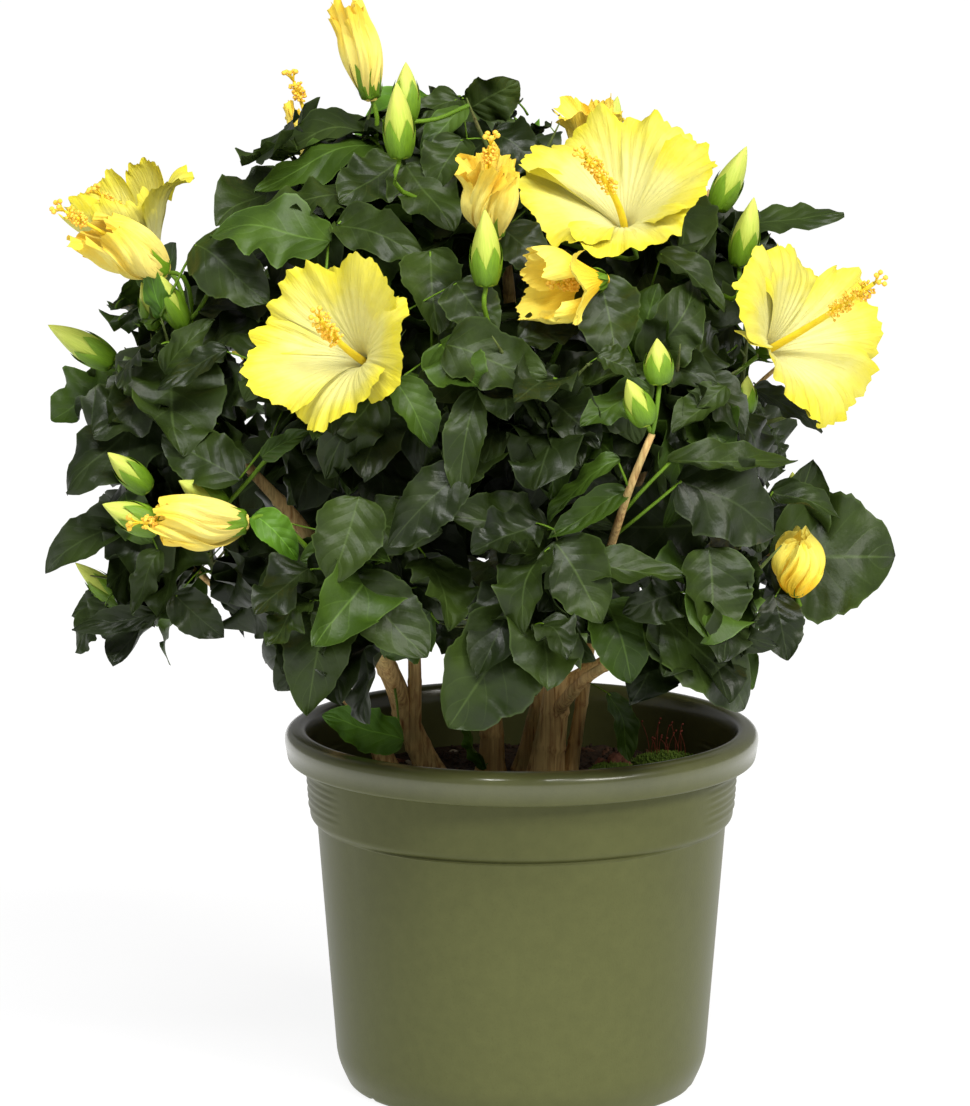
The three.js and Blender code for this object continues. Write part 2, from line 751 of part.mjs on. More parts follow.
function makeMass(mass) {
  const spineRadius = (t) => (TWIG_RADIUS + 0.4) * (1 - 0.35 * t);
  const solids = [limbSolid(mass.spine, spineRadius, 4, 4, false)];
  for (const twig of mass.twigs) {
    solids.push(twigSolid(twig.points, TWIG_RADIUS));
  }
  for (const leaf of mass.leaves) {
    solids.push(leafSolid(leaf));
  }
  for (const stalk of mass.stalks) {
    solids.push(twigSolid(stalk, TWIG_RADIUS * 0.85));
  }
  for (const flower of BLOSSOM.filter((each) => each.mass === mass)) {
    solids.push(...FLOWER_SOLIDS[flower.kind](flower));
  }
  return fuse(solids);
}

function nearestMass(point) {
  const gaps = MASSES.map((mass) => size(less(point, mass.centre)));
  return MASSES[gaps.indexOf(Math.min(...gaps))];
}

// ---------- assembly ----------
const PLASTIC = { colour: 0x6b6c46, roughness: 0.42 };
const EARTH = { colour: 0x2a211a, roughness: 0.95 };
const MOSS = { colour: 0x3c4f1c, roughness: 0.95 };
const BARK = { colour: 0x7a6840, roughness: 0.85 };
const LEAF = { colour: 0x2f4018, roughness: 0.45 };

function addNode(group, name, solid, look) {
  const material = new THREE.MeshStandardMaterial({
    color: look.colour,
    roughness: look.roughness,
    metalness: 0,
  });
  const mesh = new THREE.Mesh(toGeometry(solid), material);
  mesh.name = name;
  group.add(mesh);
}

function build() {
  const group = new THREE.Group();
  group.name = 'hibiscus_in_planter';
  addNode(group, 'pot', makePot(), PLASTIC);
  addNode(group, 'soil', makeSoil(), EARTH);
  addNode(group, 'moss_right', makeMoss(102, 58, 26, 7), MOSS);
  addNode(group, 'moss_middle', makeMoss(68, 30, 17, 5), MOSS);

  const byName = layOutLimbs();
  for (const limb of LIMBS) {
    addNode(group, limb.name, makeLimb(limb, byName), BARK);
  }

  for (const mass of MASSES) {
    mass.walls = wallsOf(mass);
  }
  for (const flower of BLOSSOM) {
    flower.mass = nearestMass(flower.foot);
  }
  const beads = limbSamples();
  MASSES.forEach((mass, m) => growMass(mass, m, beads));
  for (const mass of MASSES) {
    addNode(group, mass.name, makeMass(mass), LEAF);
  }
  return group;
}

export default build();
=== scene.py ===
# %% [markdown]
# # A hibiscus shrub in its planter
# The real thing is a patio hibiscus, about 53 cm of stems, glossy leaves and yellow blooms
# above a round nursery pot 34 cm across the rim. The construction model already holds the pot,
# the stems and one plain solid for each mass of leaves. This lesson puts the finish on it:
# every leaf, petal and crumb of soil is worked out with numpy as a surface of two parameters,
# in the same frame as the construction model, so nothing has to be fitted afterwards.

# %% The frame and the box to stay in
import copy
import json
import math

import bmesh
import bpy
import numpy as np
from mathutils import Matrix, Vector

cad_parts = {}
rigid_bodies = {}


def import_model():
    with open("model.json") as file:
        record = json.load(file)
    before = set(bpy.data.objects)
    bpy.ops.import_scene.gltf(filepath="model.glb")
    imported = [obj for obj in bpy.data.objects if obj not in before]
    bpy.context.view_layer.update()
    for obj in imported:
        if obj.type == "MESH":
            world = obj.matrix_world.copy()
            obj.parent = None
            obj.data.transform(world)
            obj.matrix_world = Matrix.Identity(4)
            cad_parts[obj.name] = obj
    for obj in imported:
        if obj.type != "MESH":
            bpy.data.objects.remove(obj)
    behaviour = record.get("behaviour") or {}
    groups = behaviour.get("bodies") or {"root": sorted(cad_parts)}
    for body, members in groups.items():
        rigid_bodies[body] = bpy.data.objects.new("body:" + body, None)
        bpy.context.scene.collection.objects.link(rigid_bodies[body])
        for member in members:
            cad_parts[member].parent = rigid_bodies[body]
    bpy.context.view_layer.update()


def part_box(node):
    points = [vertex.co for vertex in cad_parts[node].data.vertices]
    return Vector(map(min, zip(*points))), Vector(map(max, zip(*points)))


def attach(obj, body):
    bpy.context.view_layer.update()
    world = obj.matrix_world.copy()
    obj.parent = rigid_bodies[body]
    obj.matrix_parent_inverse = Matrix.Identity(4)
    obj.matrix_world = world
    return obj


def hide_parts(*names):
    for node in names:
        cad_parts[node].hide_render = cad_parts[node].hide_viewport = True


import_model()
MM = 0.001  # the plant's plan is in millimetres, Blender's meshes in metres
TURN = 2 * math.pi
GOLDEN = 2.399963  # angle between one leaf and the next round a shoot

# %% [markdown]
# ## Meshes from arrays
# A leaf, a petal, a stem and a pot are all the same kind of thing: a net of points, so many
# rows by so many columns. It could be drawn by hand in edit mode, but a plant needs thousands.
# So a net is worked out as one array, many alike nets are stacked in one bigger array, and
# `Heap` collects the stacks of one kind until they become a single mesh.


# %% Nets and heaps
def grid(u, v):
    """Two arrays for a net: each row's u and each column's v, at every point."""
    return np.meshgrid(u, v, indexing="ij")


def net_faces(count, rows, cols):
    """Quads of `count` nets of rows x cols points: each joins a point to the next in its row
    and the two above them."""
    r, c = grid(np.arange(rows - 1), np.arange(cols - 1))
    a = (r * cols + c).ravel()
    quads = np.stack([a, a + 1, a + 1 + cols, a + cols], 1)
    return (quads[None] + (np.arange(count) * rows * cols)[:, None, None]).reshape(-1, 4)


class Heap:
    """Stacks of nets of one kind, joined into one mesh at the end."""

    def __init__(self):
        self.points, self.faces, self.marks, self.tones, self.total = [], [], [], [], 0

    def add(self, points, uv=None, tone=0):
        """points is (count, rows, cols, 3) in mm; uv is (rows, cols, 2), and 0 to 1 up the rows
        and over the columns unless given; tone is a material's number, or one for each net."""
        count, rows, cols, _ = points.shape
        if uv is None:
            uv = np.stack(grid(np.linspace(0, 1, rows), np.linspace(0, 1, cols)), -1)
        faces = net_faces(count, rows, cols)
        self.points.append(points.reshape(-1, 3))
        self.marks.append(np.broadcast_to(uv, (count, rows, cols, 2)).reshape(-1, 2))
        self.faces.append(faces + self.total)
        each = len(faces) // count
        self.tones.append(np.repeat(np.broadcast_to(tone, (count,)), each))
        self.total += count * rows * cols

    def piece(self, name, finishes, slot, nodes=(), weld=0.004):
        """The mesh: points scaled to metres, quads, UVs and a material for each quad. Points
        closer than `weld` mm are merged, which closes seams and poles."""
        points = np.concatenate(self.points) * MM
        faces = np.concatenate(self.faces)
        mesh = bpy.data.meshes.new(name)
        mesh.vertices.add(len(points))
        mesh.vertices.foreach_set("co", points.astype(np.float32).ravel())
        mesh.loops.add(faces.size)
        mesh.loops.foreach_set("vertex_index", faces.astype(np.int32).ravel())
        mesh.polygons.add(len(faces))
        mesh.polygons.foreach_set("loop_start", np.arange(0, faces.size, 4, dtype=np.int32))
        mesh.polygons.foreach_set("material_index", np.concatenate(self.tones).astype(np.int32))
        mesh.update(calc_edges=True)
        layer = mesh.uv_layers.new(name="UVMap")
        marks = np.concatenate(self.marks)[faces.ravel()]
        layer.data.foreach_set("uv", marks.astype(np.float32).ravel())
        if weld:
            shape = bmesh.new()
            shape.from_mesh(mesh)
            bmesh.ops.remove_doubles(shape, verts=shape.verts, dist=weld * MM)
            shape.to_mesh(mesh)
            shape.free()
        mesh.polygons.foreach_set("use_smooth", np.ones(len(mesh.polygons), bool))
        for finish in finishes:
            mesh.materials.append(finish)
        mesh.update()
        piece = bpy.data.objects.new(name, mesh)
        bpy.context.scene.collection.objects.link(piece)
        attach(piece, "root")
        if nodes:
            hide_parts(*nodes)
        mesh.calc_loop_triangles()
        print(f"{name}: {len(mesh.loop_triangles)} triangles")
        return piece


# %% [markdown]
# ## Vectors, curves and chance
# The leaves stand where a rule puts them, the same rule that made the construction model, so
# the two crowns agree. The rule needs a few vector helpers, one smooth curve through given
# points, and dice that roll the same numbers on every run.


# %% Vectors, curves and dice
def vec(*values):
    return np.array(values, float)


def span(a):
    """The length of a vector, or of each vector of an array."""
    return np.linalg.norm(a, axis=-1)


def unit(a):
    """The vector or vectors at length 1."""
    a = np.asarray(a, float)
    return a / np.maximum(np.linalg.norm(a, axis=-1, keepdims=True), 1e-9)


def across(way):
    """Two directions square to a way and to each other, as arrays of the way's shape."""
    way = np.asarray(way, float)
    steep = np.abs(way[..., 2:3]) >= 0.9
    helper = np.where(steep, vec(1, 0, 0), vec(0, 0, 1))
    one = unit(np.cross(helper, way))
    return one, np.cross(way, one)


def around(way, angle):
    """The direction square to a way, at an angle round it: one cos + two sin."""
    one, two = across(way)
    return one * np.cos(angle) + two * np.sin(angle)


def curve(points, t):
    """Points of a smooth curve through `points` at the shares t: a cubic between each two,
    its slope there half of the chord from the point before to the point after."""
    points = np.asarray(points, float)
    t = np.atleast_1d(np.asarray(t, float))
    place = np.clip(t, 0, 1) * (len(points) - 1)
    i = np.minimum(np.floor(place).astype(int), len(points) - 2)
    f = (place - i)[:, None]
    padded = np.vstack([2 * points[0] - points[1], points, 2 * points[-1] - points[-2]])
    a, b, c, d = padded[i], padded[i + 1], padded[i + 2], padded[i + 3]
    bend, twist = 2 * a - 5 * b + 4 * c - d, 3 * b - a - 3 * c + d
    return b + 0.5 * f * (c - a + f * (bend + f * twist))


def curve_way(points, t):
    """The curve's direction at the shares t."""
    t = np.atleast_1d(np.asarray(t, float))
    return unit(curve(points, np.minimum(t + 0.02, 1)) - curve(points, np.maximum(t - 0.02, 0)))


def dice(seed):
    """Numbers from 0 to 1 in an order fixed by the seed: each state is the last one times
    1664525 plus 1013904223, the rest after dividing by two to the power 32."""
    whole = 2**32
    state = (seed * 7919 + 12345) % whole

    def roll():
        nonlocal state
        state = (state * 1664525 + 1013904223) % whole
        return state / whole

    for _ in range(3):
        roll()
    return roll


def tubes(paths, radii, sides):
    """Closed tubes along many paths at once. paths is (count, n, 3), radii one number or a
    share of (count, n). Each ring is the path's point plus radius times a circle square to
    the path, and a point at each end closes it. Returns (count, n + 2, sides + 1, 3)."""
    paths = np.asarray(paths, float)
    radii = np.broadcast_to(radii, paths.shape[:2])
    ways = unit(np.gradient(paths, axis=1))
    mean = np.abs(unit(paths[:, -1] - paths[:, 0]))
    helper = np.eye(3)[np.argmin(mean, axis=1)][:, None]
    side = unit(np.cross(ways, helper))
    other = np.cross(ways, side)
    angle = np.linspace(0, TURN, sides + 1)
    ring = side[:, :, None] * np.cos(angle)[:, None] + other[:, :, None] * np.sin(angle)[:, None]
    body = paths[:, :, None] + ring * radii[:, :, None, None]
    first, last = (np.repeat(paths[:, [k], None], sides + 1, axis=2) for k in (0, -1))
    return np.concatenate([first, body, last], axis=1)

# %% [markdown]
# ## Finishes
# A finish is a small network of shader nodes. Written as wires it is hard to read, so a class
# `Value` wraps one output and lets Python's own signs make the Math nodes: `1 - mask * 0.5`.
# Colours are blended by the Mix node. `Finish.add` makes every other kind of node.


# %% Values and finishes
class Value:
    """One number on its way through a finish."""

    def __init__(self, finish, socket):
        self.finish, self.socket = finish, socket

    def math(self, operation, first, second=0.0):
        sockets = {0: first, 1: second}
        return self.finish.add("ShaderNodeMath", {"operation": operation}, sockets)

    def __add__(self, other):
        return self.math("ADD", self, other)

    def __sub__(self, other):
        return self.math("SUBTRACT", self, other)

    def __rsub__(self, other):
        return self.math("SUBTRACT", other, self)

    def __mul__(self, other):
        return self.math("MULTIPLY", self, other)

    __rmul__ = __mul__

    def size(self):
        """The value without its sign."""
        return self.math("ABSOLUTE", self)

    def larger(self, other):
        """The larger of two values."""
        return self.math("MAXIMUM", self, other)

    def zigzag(self, height):
        """The value folded back and forth between 0 and height."""
        return self.math("PINGPONG", self, height)

    def ramp(self, low, high):
        """0 below low, 1 above high, and straight between."""
        sockets = {"Value": self, "From Min": low, "From Max": high}
        return self.finish.add("ShaderNodeMapRange", {"clamp": True}, sockets)


class Finish:
    """A material: its Principled shader, and one method that adds any node."""

    def __init__(self, name, fixed):
        self.material = bpy.data.materials.new(name)
        self.material.use_nodes = True
        self.tree = self.material.node_tree
        self.shader = self.tree.nodes["Principled BSDF"]
        for socket, value in fixed.items():
            self.shader.inputs[socket].default_value = value

    def feed(self, socket, value):
        if isinstance(value, Value):
            self.tree.links.new(value.socket, socket)
        else:
            socket.default_value = value

    def add(self, kind, settings=None, sockets=None, out=0):
        """Adds a node: first its settings, then the values or links of its sockets."""
        node = self.tree.nodes.new(kind)
        for key, value in (settings or {}).items():
            setattr(node, key, value)
        for key, value in (sockets or {}).items():
            self.feed(node.inputs[key], value)
        return Value(self, node.outputs[out])

    def place(self):
        """Where a point lies on the object, in metres."""
        return self.add("ShaderNodeTexCoord", out="Object")

    def marks(self):
        """The two UV numbers of the surface, as separate values."""
        uv = self.add("ShaderNodeTexCoord", out="UV")
        return [self.add("ShaderNodeSeparateXYZ", {}, {0: uv}, out=k) for k in (0, 1)]

    def noise(self, scale, detail=3.0, where=None, distortion=0.0):
        """Cloudy noise from 0 to 1, `scale` clouds to the metre."""
        sockets = {"Vector": where or self.place(), "Scale": scale, "Detail": detail,
                   "Distortion": distortion}
        return self.add("ShaderNodeTexNoise", {}, sockets)

    def point(self, x, y, z=0.0):
        return self.add("ShaderNodeCombineXYZ", {}, {0: x, 1: y, 2: z})

    def mix(self, one, two, share):
        """A colour `share` of the way from one to two."""
        return self.add("ShaderNodeMix", {"data_type": "RGBA"}, {0: share, 6: one, 7: two}, out=2)

    def bump(self, height, depth_mm, strength=1.0):
        sockets = {"Height": height, "Distance": depth_mm * MM, "Strength": strength}
        return self.add("ShaderNodeBump", {}, sockets)

    def show(self, **looks):
        """Feeds the shader: colour, roughness, normal, glow or coat."""
        names = {"colour": "Base Color", "roughness": "Roughness", "normal": "Normal",
                 "glow": "Emission Color", "coat": "Coat Weight"}
        for key, value in looks.items():
            self.feed(self.shader.inputs[names[key]], value)
        return self.material


def paint(red, green, blue):
    """A colour given in the 0 to 255 of a paint chart, as the shader's linear light."""
    share = np.array([red, green, blue]) / 255
    linear = np.where(share <= 0.04045, share / 12.92, ((share + 0.055) / 1.055) ** 2.4)
    return (*linear.tolist(), 1.0)

# %% [markdown]
# ## The shrub's plan
# Six stems rise from the soil, twelve boughs leave them, and each carries one mass of leaves.
# The numbers are those of the construction model: the centre and reach of each mass, and the
# points that each limb runs through. Repeating the plan, and not a list of leaves, lets the
# crown be grown again here with more and finer shoots.

# %% Masses, limbs and blossom, in millimetres
CROWN_CENTRE = vec(-35, 0, 430)
CROWN_FLOOR = 306  # no leaf hangs lower than this
LIGHT = vec(0, -0.4, 0.45)  # leaves also turn a little this way
TWIG_RADIUS = 2.3
GAP = 0.3  # between the end of a limb and the twig that goes on from it

MASSES = {
    "right_low": [(180, -62, 398), 104],
    "front_right_low": [(114, -165, 378), 108],
    "front_low": [(2, -198, 384), 108],
    "front_left_low": [(-112, -172, 378), 110],
    "left_low": [(-240, -68, 392), 114],
    "back_left_low": [(-140, 130, 384), 126],
    "back_right_low": [(70, 165, 384), 126],
    "right_middle": [(162, -30, 506), 108],
    "front_right_middle": [(100, -140, 506), 112],
    "front_middle": [(4, -186, 516), 108],
    "front_left_middle": [(-100, -150, 512), 114],
    "left_middle": [(-230, -60, 502), 126],
    "back_left_middle": [(-146, 126, 524), 124],
    "back_right_middle": [(78, 140, 520), 122],
    "top_left": [(-114, -50, 624), 104],
    "top_middle": [(-14, -70, 632), 104],
    "top_right": [(108, -18, 600), 110],
    "top_back": [(-36, 72, 622), 106],
}

SOIL_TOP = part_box("stem_centre")[0].z / MM
# stems: mass, radius, foot, via points; boughs: mass, radius, parent and share of it, via points
STEMS = {
    "stem_left": ["left_middle", 10, (-62, -5), [(-80, -10, 262), (-97, -18, 308), (-150, -28, 400)]],
    "stem_far_left": ["left_low", 7.5, (-93, 12), [(-110, 4, 262), (-134, -6, 292), (-172, -28, 330)]],
    "stem_stub": ["back_left_middle", 9.5, (-22, 18), [(-22, 16, 262), (-36, 30, 350), (-80, 76, 440)]],
    "stem_rear": ["back_right_middle", 8, (2, 24), [(14, 24, 275), (30, 50, 370), (50, 90, 445)]],
    "stem_centre": ["top_middle", 11.5, (16, -3), [(25, -9, 290), (21, -16, 345), (0, -30, 470)]],
    "stem_thin": ["top_right", 5, (34, 8), [(45, 6, 290), (58, 2, 400), (75, 0, 500)]],
}
BOUGHS = {
    "bough_shoot": ["top_left", 5.5, "stem_left", 0.2,
                    [(-76, -18, 315), (-82, -26, 430), (-104, -40, 530)]],
    "bough_cane": ["front_right_middle", 6, "stem_centre", 0.31, [(40, -66, 350), (62, -106, 410)]],
    "bough_front_middle": ["front_middle", 5, "stem_centre", 0.52, [(12, -66, 408), (8, -108, 450)]],
    "bough_right_low": ["right_low", 6, "stem_centre", 0.24, [(72, -24, 316), (120, -44, 340)]],
    "bough_front_right": ["front_right_low", 5, "stem_centre", 0.17, [(44, -58, 304), (72, -100, 330)]],
    "bough_front_low": ["front_low", 5.5, "stem_centre", 0.39, [(12, -70, 350), (4, -110, 362)]],
    "bough_front_left": ["front_left_low", 5.5, "stem_left", 0.33,
                         [(-98, -66, 325), (-106, -104, 340)]],
    "bough_back_left": ["back_left_low", 6, "stem_stub", 0.22, [(-52, 52, 308), (-88, 84, 338)]],
    "bough_back_right": ["back_right_low", 6, "stem_rear", 0.2, [(30, 66, 305), (48, 104, 335)]],
    "bough_right_middle": ["right_middle", 5, "stem_thin", 0.35, [(86, -6, 400), (118, -14, 450)]],
    "bough_front_left_middle": ["front_left_middle", 6, "stem_left", 0.5,
                                [(-108, -58, 385), (-104, -94, 432)]],
    "bough_top_back": ["top_back", 5.5, "stem_stub", 0.5, [(-42, 60, 450), (-40, 70, 530)]],
}

# blossom: kind, foot of the flower, the way it points, its size, and how deep an open cup is
BLOSSOM = [
    ["open", (-101, -200, 542), (-0.46, -0.78, 0.42), 60, 1.0],
    ["open", (70, -118, 624), (-0.1, -0.62, 0.78), 67, 0.98],
    ["open", (155, -96, 528), (0.72, -0.48, 0.5), 66, 0.94],
    ["open", (-246, -62, 598), (-0.45, 0.04, 0.89), 46, 1.5],
    ["open", (-142, 212, 494), (-0.4, 0.82, 0.42), 60, 0.9],
    ["open", (70, 205, 554), (0.2, 0.82, 0.5), 62, 0.9],
    ["rolled", (48, -52, 646), (0.05, -0.05, 1), 20],
    ["rolled", (-104, -66, 712), (-0.16, -0.1, 0.98), 25],
    ["rolled", (-245, -108, 598), (-0.72, -0.4, 0.56), 24],
    ["rolled", (-20, -186, 632), (-0.12, -0.3, 0.95), 20],
    ["open", (34, -214, 600), (-0.3, -0.92, 0.24), 34, 1.2],
    ["rolled", (-186, -200, 441), (-0.97, -0.22, 0.02), 22],
    ["rolled", (187, -142, 380), (0.05, -0.25, 0.95), 16],
    ["rolled", (-146, 20, 655), (-0.1, 0, 1), 16],
    ["rolled", (-230, 120, 470), (-0.9, 0.4, 0.1), 22],
    ["rolled", (122, 214, 432), (0.4, 0.85, 0.3), 22],
    ["bud", (-83, -146, 680), (-0.05, -0.1, 1), 15],
    ["bud", (-25, -225, 604), (-0.02, -0.12, 1), 15],
    ["bud", (134, -42, 632), (0.42, 0, 0.9), 14],
    ["bud", (148, -100, 600), (0.2, 0, 0.97), 14],
    ["bud", (-283, -62, 528), (-0.84, -0.1, 0.52), 15],
    ["bud", (60, 120, 650), (0.2, 0.3, 0.92), 13],
    ["bud", (-60, 225, 590), (-0.1, 0.6, 0.8), 13],
]


# %% Limb paths
class Limb:
    """A stem or bough: the mass it carries, its radius, its parent and its path."""

    def __init__(self, carries, radius, parent, start, via):
        centre, reach = MASSES[carries]
        centre = vec(*centre)
        end = centre + unit(vec(*via[-1]) - centre) * reach * 0.55
        self.carries, self.radius, self.parent = carries, radius, parent
        self.path = np.vstack([start, *via, end])

    def radius_at(self, t):
        """The radius tapers by 62 %; a stem also flares by a third where it meets the soil."""
        flare = 1 if self.parent else 1 + 0.32 * np.exp(-np.asarray(t) * 22)
        return np.maximum(self.radius * (1 - 0.62 * np.asarray(t)) * flare, TWIG_RADIUS + 0.4)


LIMBS = {}
for name, (carries, radius, foot, via) in STEMS.items():
    LIMBS[name] = Limb(carries, radius, None, (*foot, SOIL_TOP), via)
for name, (carries, radius, parent, share, via) in BOUGHS.items():
    start = curve(LIMBS[parent].path, share)[0]
    LIMBS[name] = Limb(carries, radius, parent, start, via)
beads = np.linspace(0, 1, 61)
LIMB_BEADS = np.vstack([curve(limb.path, beads) for limb in LIMBS.values()])
LIMB_ROOM = np.concatenate([limb.radius_at(beads) for limb in LIMBS.values()])
tallest = max(np.ptp(limb.path[:, 2]) for limb in LIMBS.values())
print("limbs:", len(LIMBS), "the tallest rises", round(tallest), "mm")


# %% Masses and flowers as objects
class Mass:
    """The room of one mass of leaves, where its limb enters it, and what has grown in it."""

    def __init__(self, number, name, centre, reach):
        self.number, self.name, self.centre, self.reach = number, name, vec(*centre), reach
        limb = next(limb for limb in LIMBS.values() if limb.carries == name)
        self.way = curve_way(limb.path, 1)[0]
        self.root = limb.path[-1] + self.way * GAP
        self.foot_radius = limb.radius_at(1.0)
        others = [vec(*c) for n, (c, _) in MASSES.items() if n != name]
        apart = np.array(others) - self.centre
        self.walls = unit(apart), span(apart) / 2 - 0.5
        rise = self.centre + unit(self.centre - CROWN_CENTRE) * reach * 0.32
        first = self.root + self.way * reach * 0.22
        self.spine = np.array([self.root, first, self.centre, rise + vec(0, 0, reach * 0.16)])
        self.twigs, self.shoots, self.stalks = [], [], []
        near = span(LIMB_BEADS - self.centre) < reach + 40
        self.limbs, self.limb_room = LIMB_BEADS[near], LIMB_ROOM[near]
        self.wood = np.empty((0, 3))

    def holds(self, points, walled=True):
        """True where a point is within reach, above the crown's floor and, if walled, on
        this side of the half-way planes to every other mass."""
        away = points - self.centre
        inside = (span(away) <= self.reach) & (points[:, 2] >= CROWN_FLOOR)
        if walled:
            normals, distance = self.walls
            inside &= (away @ normals.T < distance).all(1)
        return inside


class Flower:
    """A bloom or bud: its foot, the way it points, its size, and how deep its cup is."""

    def __init__(self, kind, foot, way, size, cup=1):
        self.kind, self.foot, self.way, self.size, self.cup = kind, vec(*foot), unit(way), size, cup
        self.one, self.two = across(self.way)

    def at(self, r, angle, h):
        """Points at a distance r from the flower's line, an angle round it and h along it."""
        r, angle, h = np.broadcast_arrays(r, angle, h)
        out = self.one * (r * np.cos(angle))[..., None] + self.two * (r * np.sin(angle))[..., None]
        return self.foot + out + self.way * h[..., None]

    def keeps(self, points, margin):
        """True where a point is in the room that the flower keeps for itself."""
        away = points - self.foot
        h = away @ self.way
        r = span(away - h[:, None] * self.way)
        if self.kind == "open":
            room = np.minimum(1.1, 0.2 + 0.9 * np.maximum(h, 0) / (self.size * self.cup))
            return (h > -margin) & (h < self.size * 2.6) & (r < room * self.size + margin)
        length = self.size * (3.6 if self.kind == "bud" else 3.25)
        return (h > -margin) & (h < length + 12) & (r < self.size * 0.9 + margin)


def nearest_mass(point):
    return min(masses, key=lambda mass: span(mass.centre - point))


masses = [Mass(i, name, *plan) for i, (name, plan) in enumerate(MASSES.items())]
flowers = [Flower(*plan) for plan in BLOSSOM]
for flower in flowers:
    flower.mass = nearest_mass(flower.foot)
print("masses:", len(masses), "flowers and buds:", len(flowers))

# %% [markdown]
# ## Growing the shoots
# On the real plant a shoot grows towards the light, and its leaves stand round it at the
# golden angle, so that none shades the next. The rule here does the same and then tests each
# leaf: it must keep to the room of its mass, and clear of limbs, flowers and other leaves. A
# leaf that fails rolls the dice again. First come the twigs and leaves of the construction
# model, from the same seeds, then finer shoots and more leaves between them.

# %% The rule for twigs
LEAF_LENGTH = 86  # blade of a full-grown leaf
LEAF_WIDTH = 0.8  # share of the length
STALK_SHARE = 0.24  # leaf stalk, share of the blade
ROWS_TESTED = [0.1, 0.23, 0.36, 0.49, 0.62, 0.75, 0.88]
ACROSS_TESTED = [-1, -0.5, 0, 0.5, 1]


def clear_of(points, others, distance):
    """True where a point is further than distance from all the others."""
    if not len(others):
        return np.ones(len(points), bool)
    gap = span(points[:, None] - others[None])
    return (gap > distance).all(1)


def clear_of_limbs(mass, points, margin):
    gap = span(points[:, None] - mass.limbs[None])
    return (gap > mass.limb_room + margin).all()


def clear_of_flowers(points, margin):
    return not any(flower.keeps(points, margin).any() for flower in flowers)


def grow_twig(mass, line, t, angle, reach, key, walled=True):
    """A twig leaves the line at the share t, leaning outwards, and is shortened until it
    fits. It is a curve of three points that lifts towards its end."""
    roll = dice(key)
    start, along = curve(line, t)[0], curve_way(line, t)[0]
    angle = angle + roll() * 0.6 + key
    lean = 0.75 + 0.5 * roll()
    outward = unit(start - CROWN_CENTRE)
    way = unit(along + around(along, angle) * lean + outward * 0.35)
    length = reach * (0.5 + 0.24 * roll())
    lift = 0.1 + 0.16 * roll()
    for _ in range(4):
        end = start + way * length + vec(0, 0, length * lift)
        points = np.array([start, start + way * length * 0.5, end])
        tested = curve(points, [0.4, 0.6, 0.8, 1])
        fits = mass.holds(tested, walled).all() and clear_of_limbs(mass, tested, 4)
        if fits and clear_of_flowers(tested, 4):
            return points
        length *= 0.78
    return None


# %% The rule for leaves
def leaf_half_width(u):
    """Half the blade's width at the share u of its length, as a share of the full width."""
    return np.sin(np.pi * np.clip(u, 0, 1) ** 0.72) ** 0.8 / 2


class Leaf:
    """A leaf: its root on the shoot, the foot of the blade, the way the blade runs, the way
    it faces, and its size. Blades hang outwards and down, and face away from the middle of
    the crown and to the light."""

    def __init__(self, root, petiole, outward, length, droop, turn):
        self.root, self.length, self.width, self.tone = root, length, length * LEAF_WIDTH, None
        self.foot = root + petiole * length * STALK_SHARE
        forward = petiole * vec(0.75, 0.75, 0.4) + outward * vec(0.2, 0.2, 0.1)
        self.way = unit(forward - vec(0, 0, droop))
        lit = outward * 0.8 + LIGHT
        face = unit(lit + np.cross(lit, vec(0, 0, 1)) * turn)
        self.up = unit(face - self.way * (face @ self.way))
        self.side = np.cross(self.way, self.up)

    def samples(self):
        """The foot, seven rows of five points over the blade, and the tip."""
        u, v = grid(ROWS_TESTED, ACROSS_TESTED)
        u, v = np.append(u.ravel(), 1.0), np.append(v.ravel(), 0.0)
        half = self.width * leaf_half_width(u)
        sag = self.length * (0.1 * np.sin(np.pi * u) - 0.16 * u * u)
        points = self.foot + self.way * (self.length * u)[:, None]
        points = points + self.up * (sag + np.abs(v) * half * 0.12)[:, None]
        points = points + self.side * (v * half)[:, None]
        return np.vstack([self.foot, points])


class Crown:
    """All the leaves so far, with the points that each new one must keep away from."""

    def __init__(self):
        self.leaves, self.samples, self.middles, self.owner = [], [], [], []

    def near(self, point, mass, own_only):
        if not self.leaves:
            return np.empty((0, 3))
        close = span(np.array(self.middles) - point) < 120
        if own_only:
            close &= np.array(self.owner) == mass.number
        return np.concatenate([np.empty((0, 3)), *[self.samples[k] for k in np.flatnonzero(close)]])

    def take(self, leaf, samples, mass):
        self.leaves.append(leaf)
        self.samples.append(samples[6:])
        self.middles.append(samples.mean(0))
        self.owner.append(mass.number)


crown = Crown()


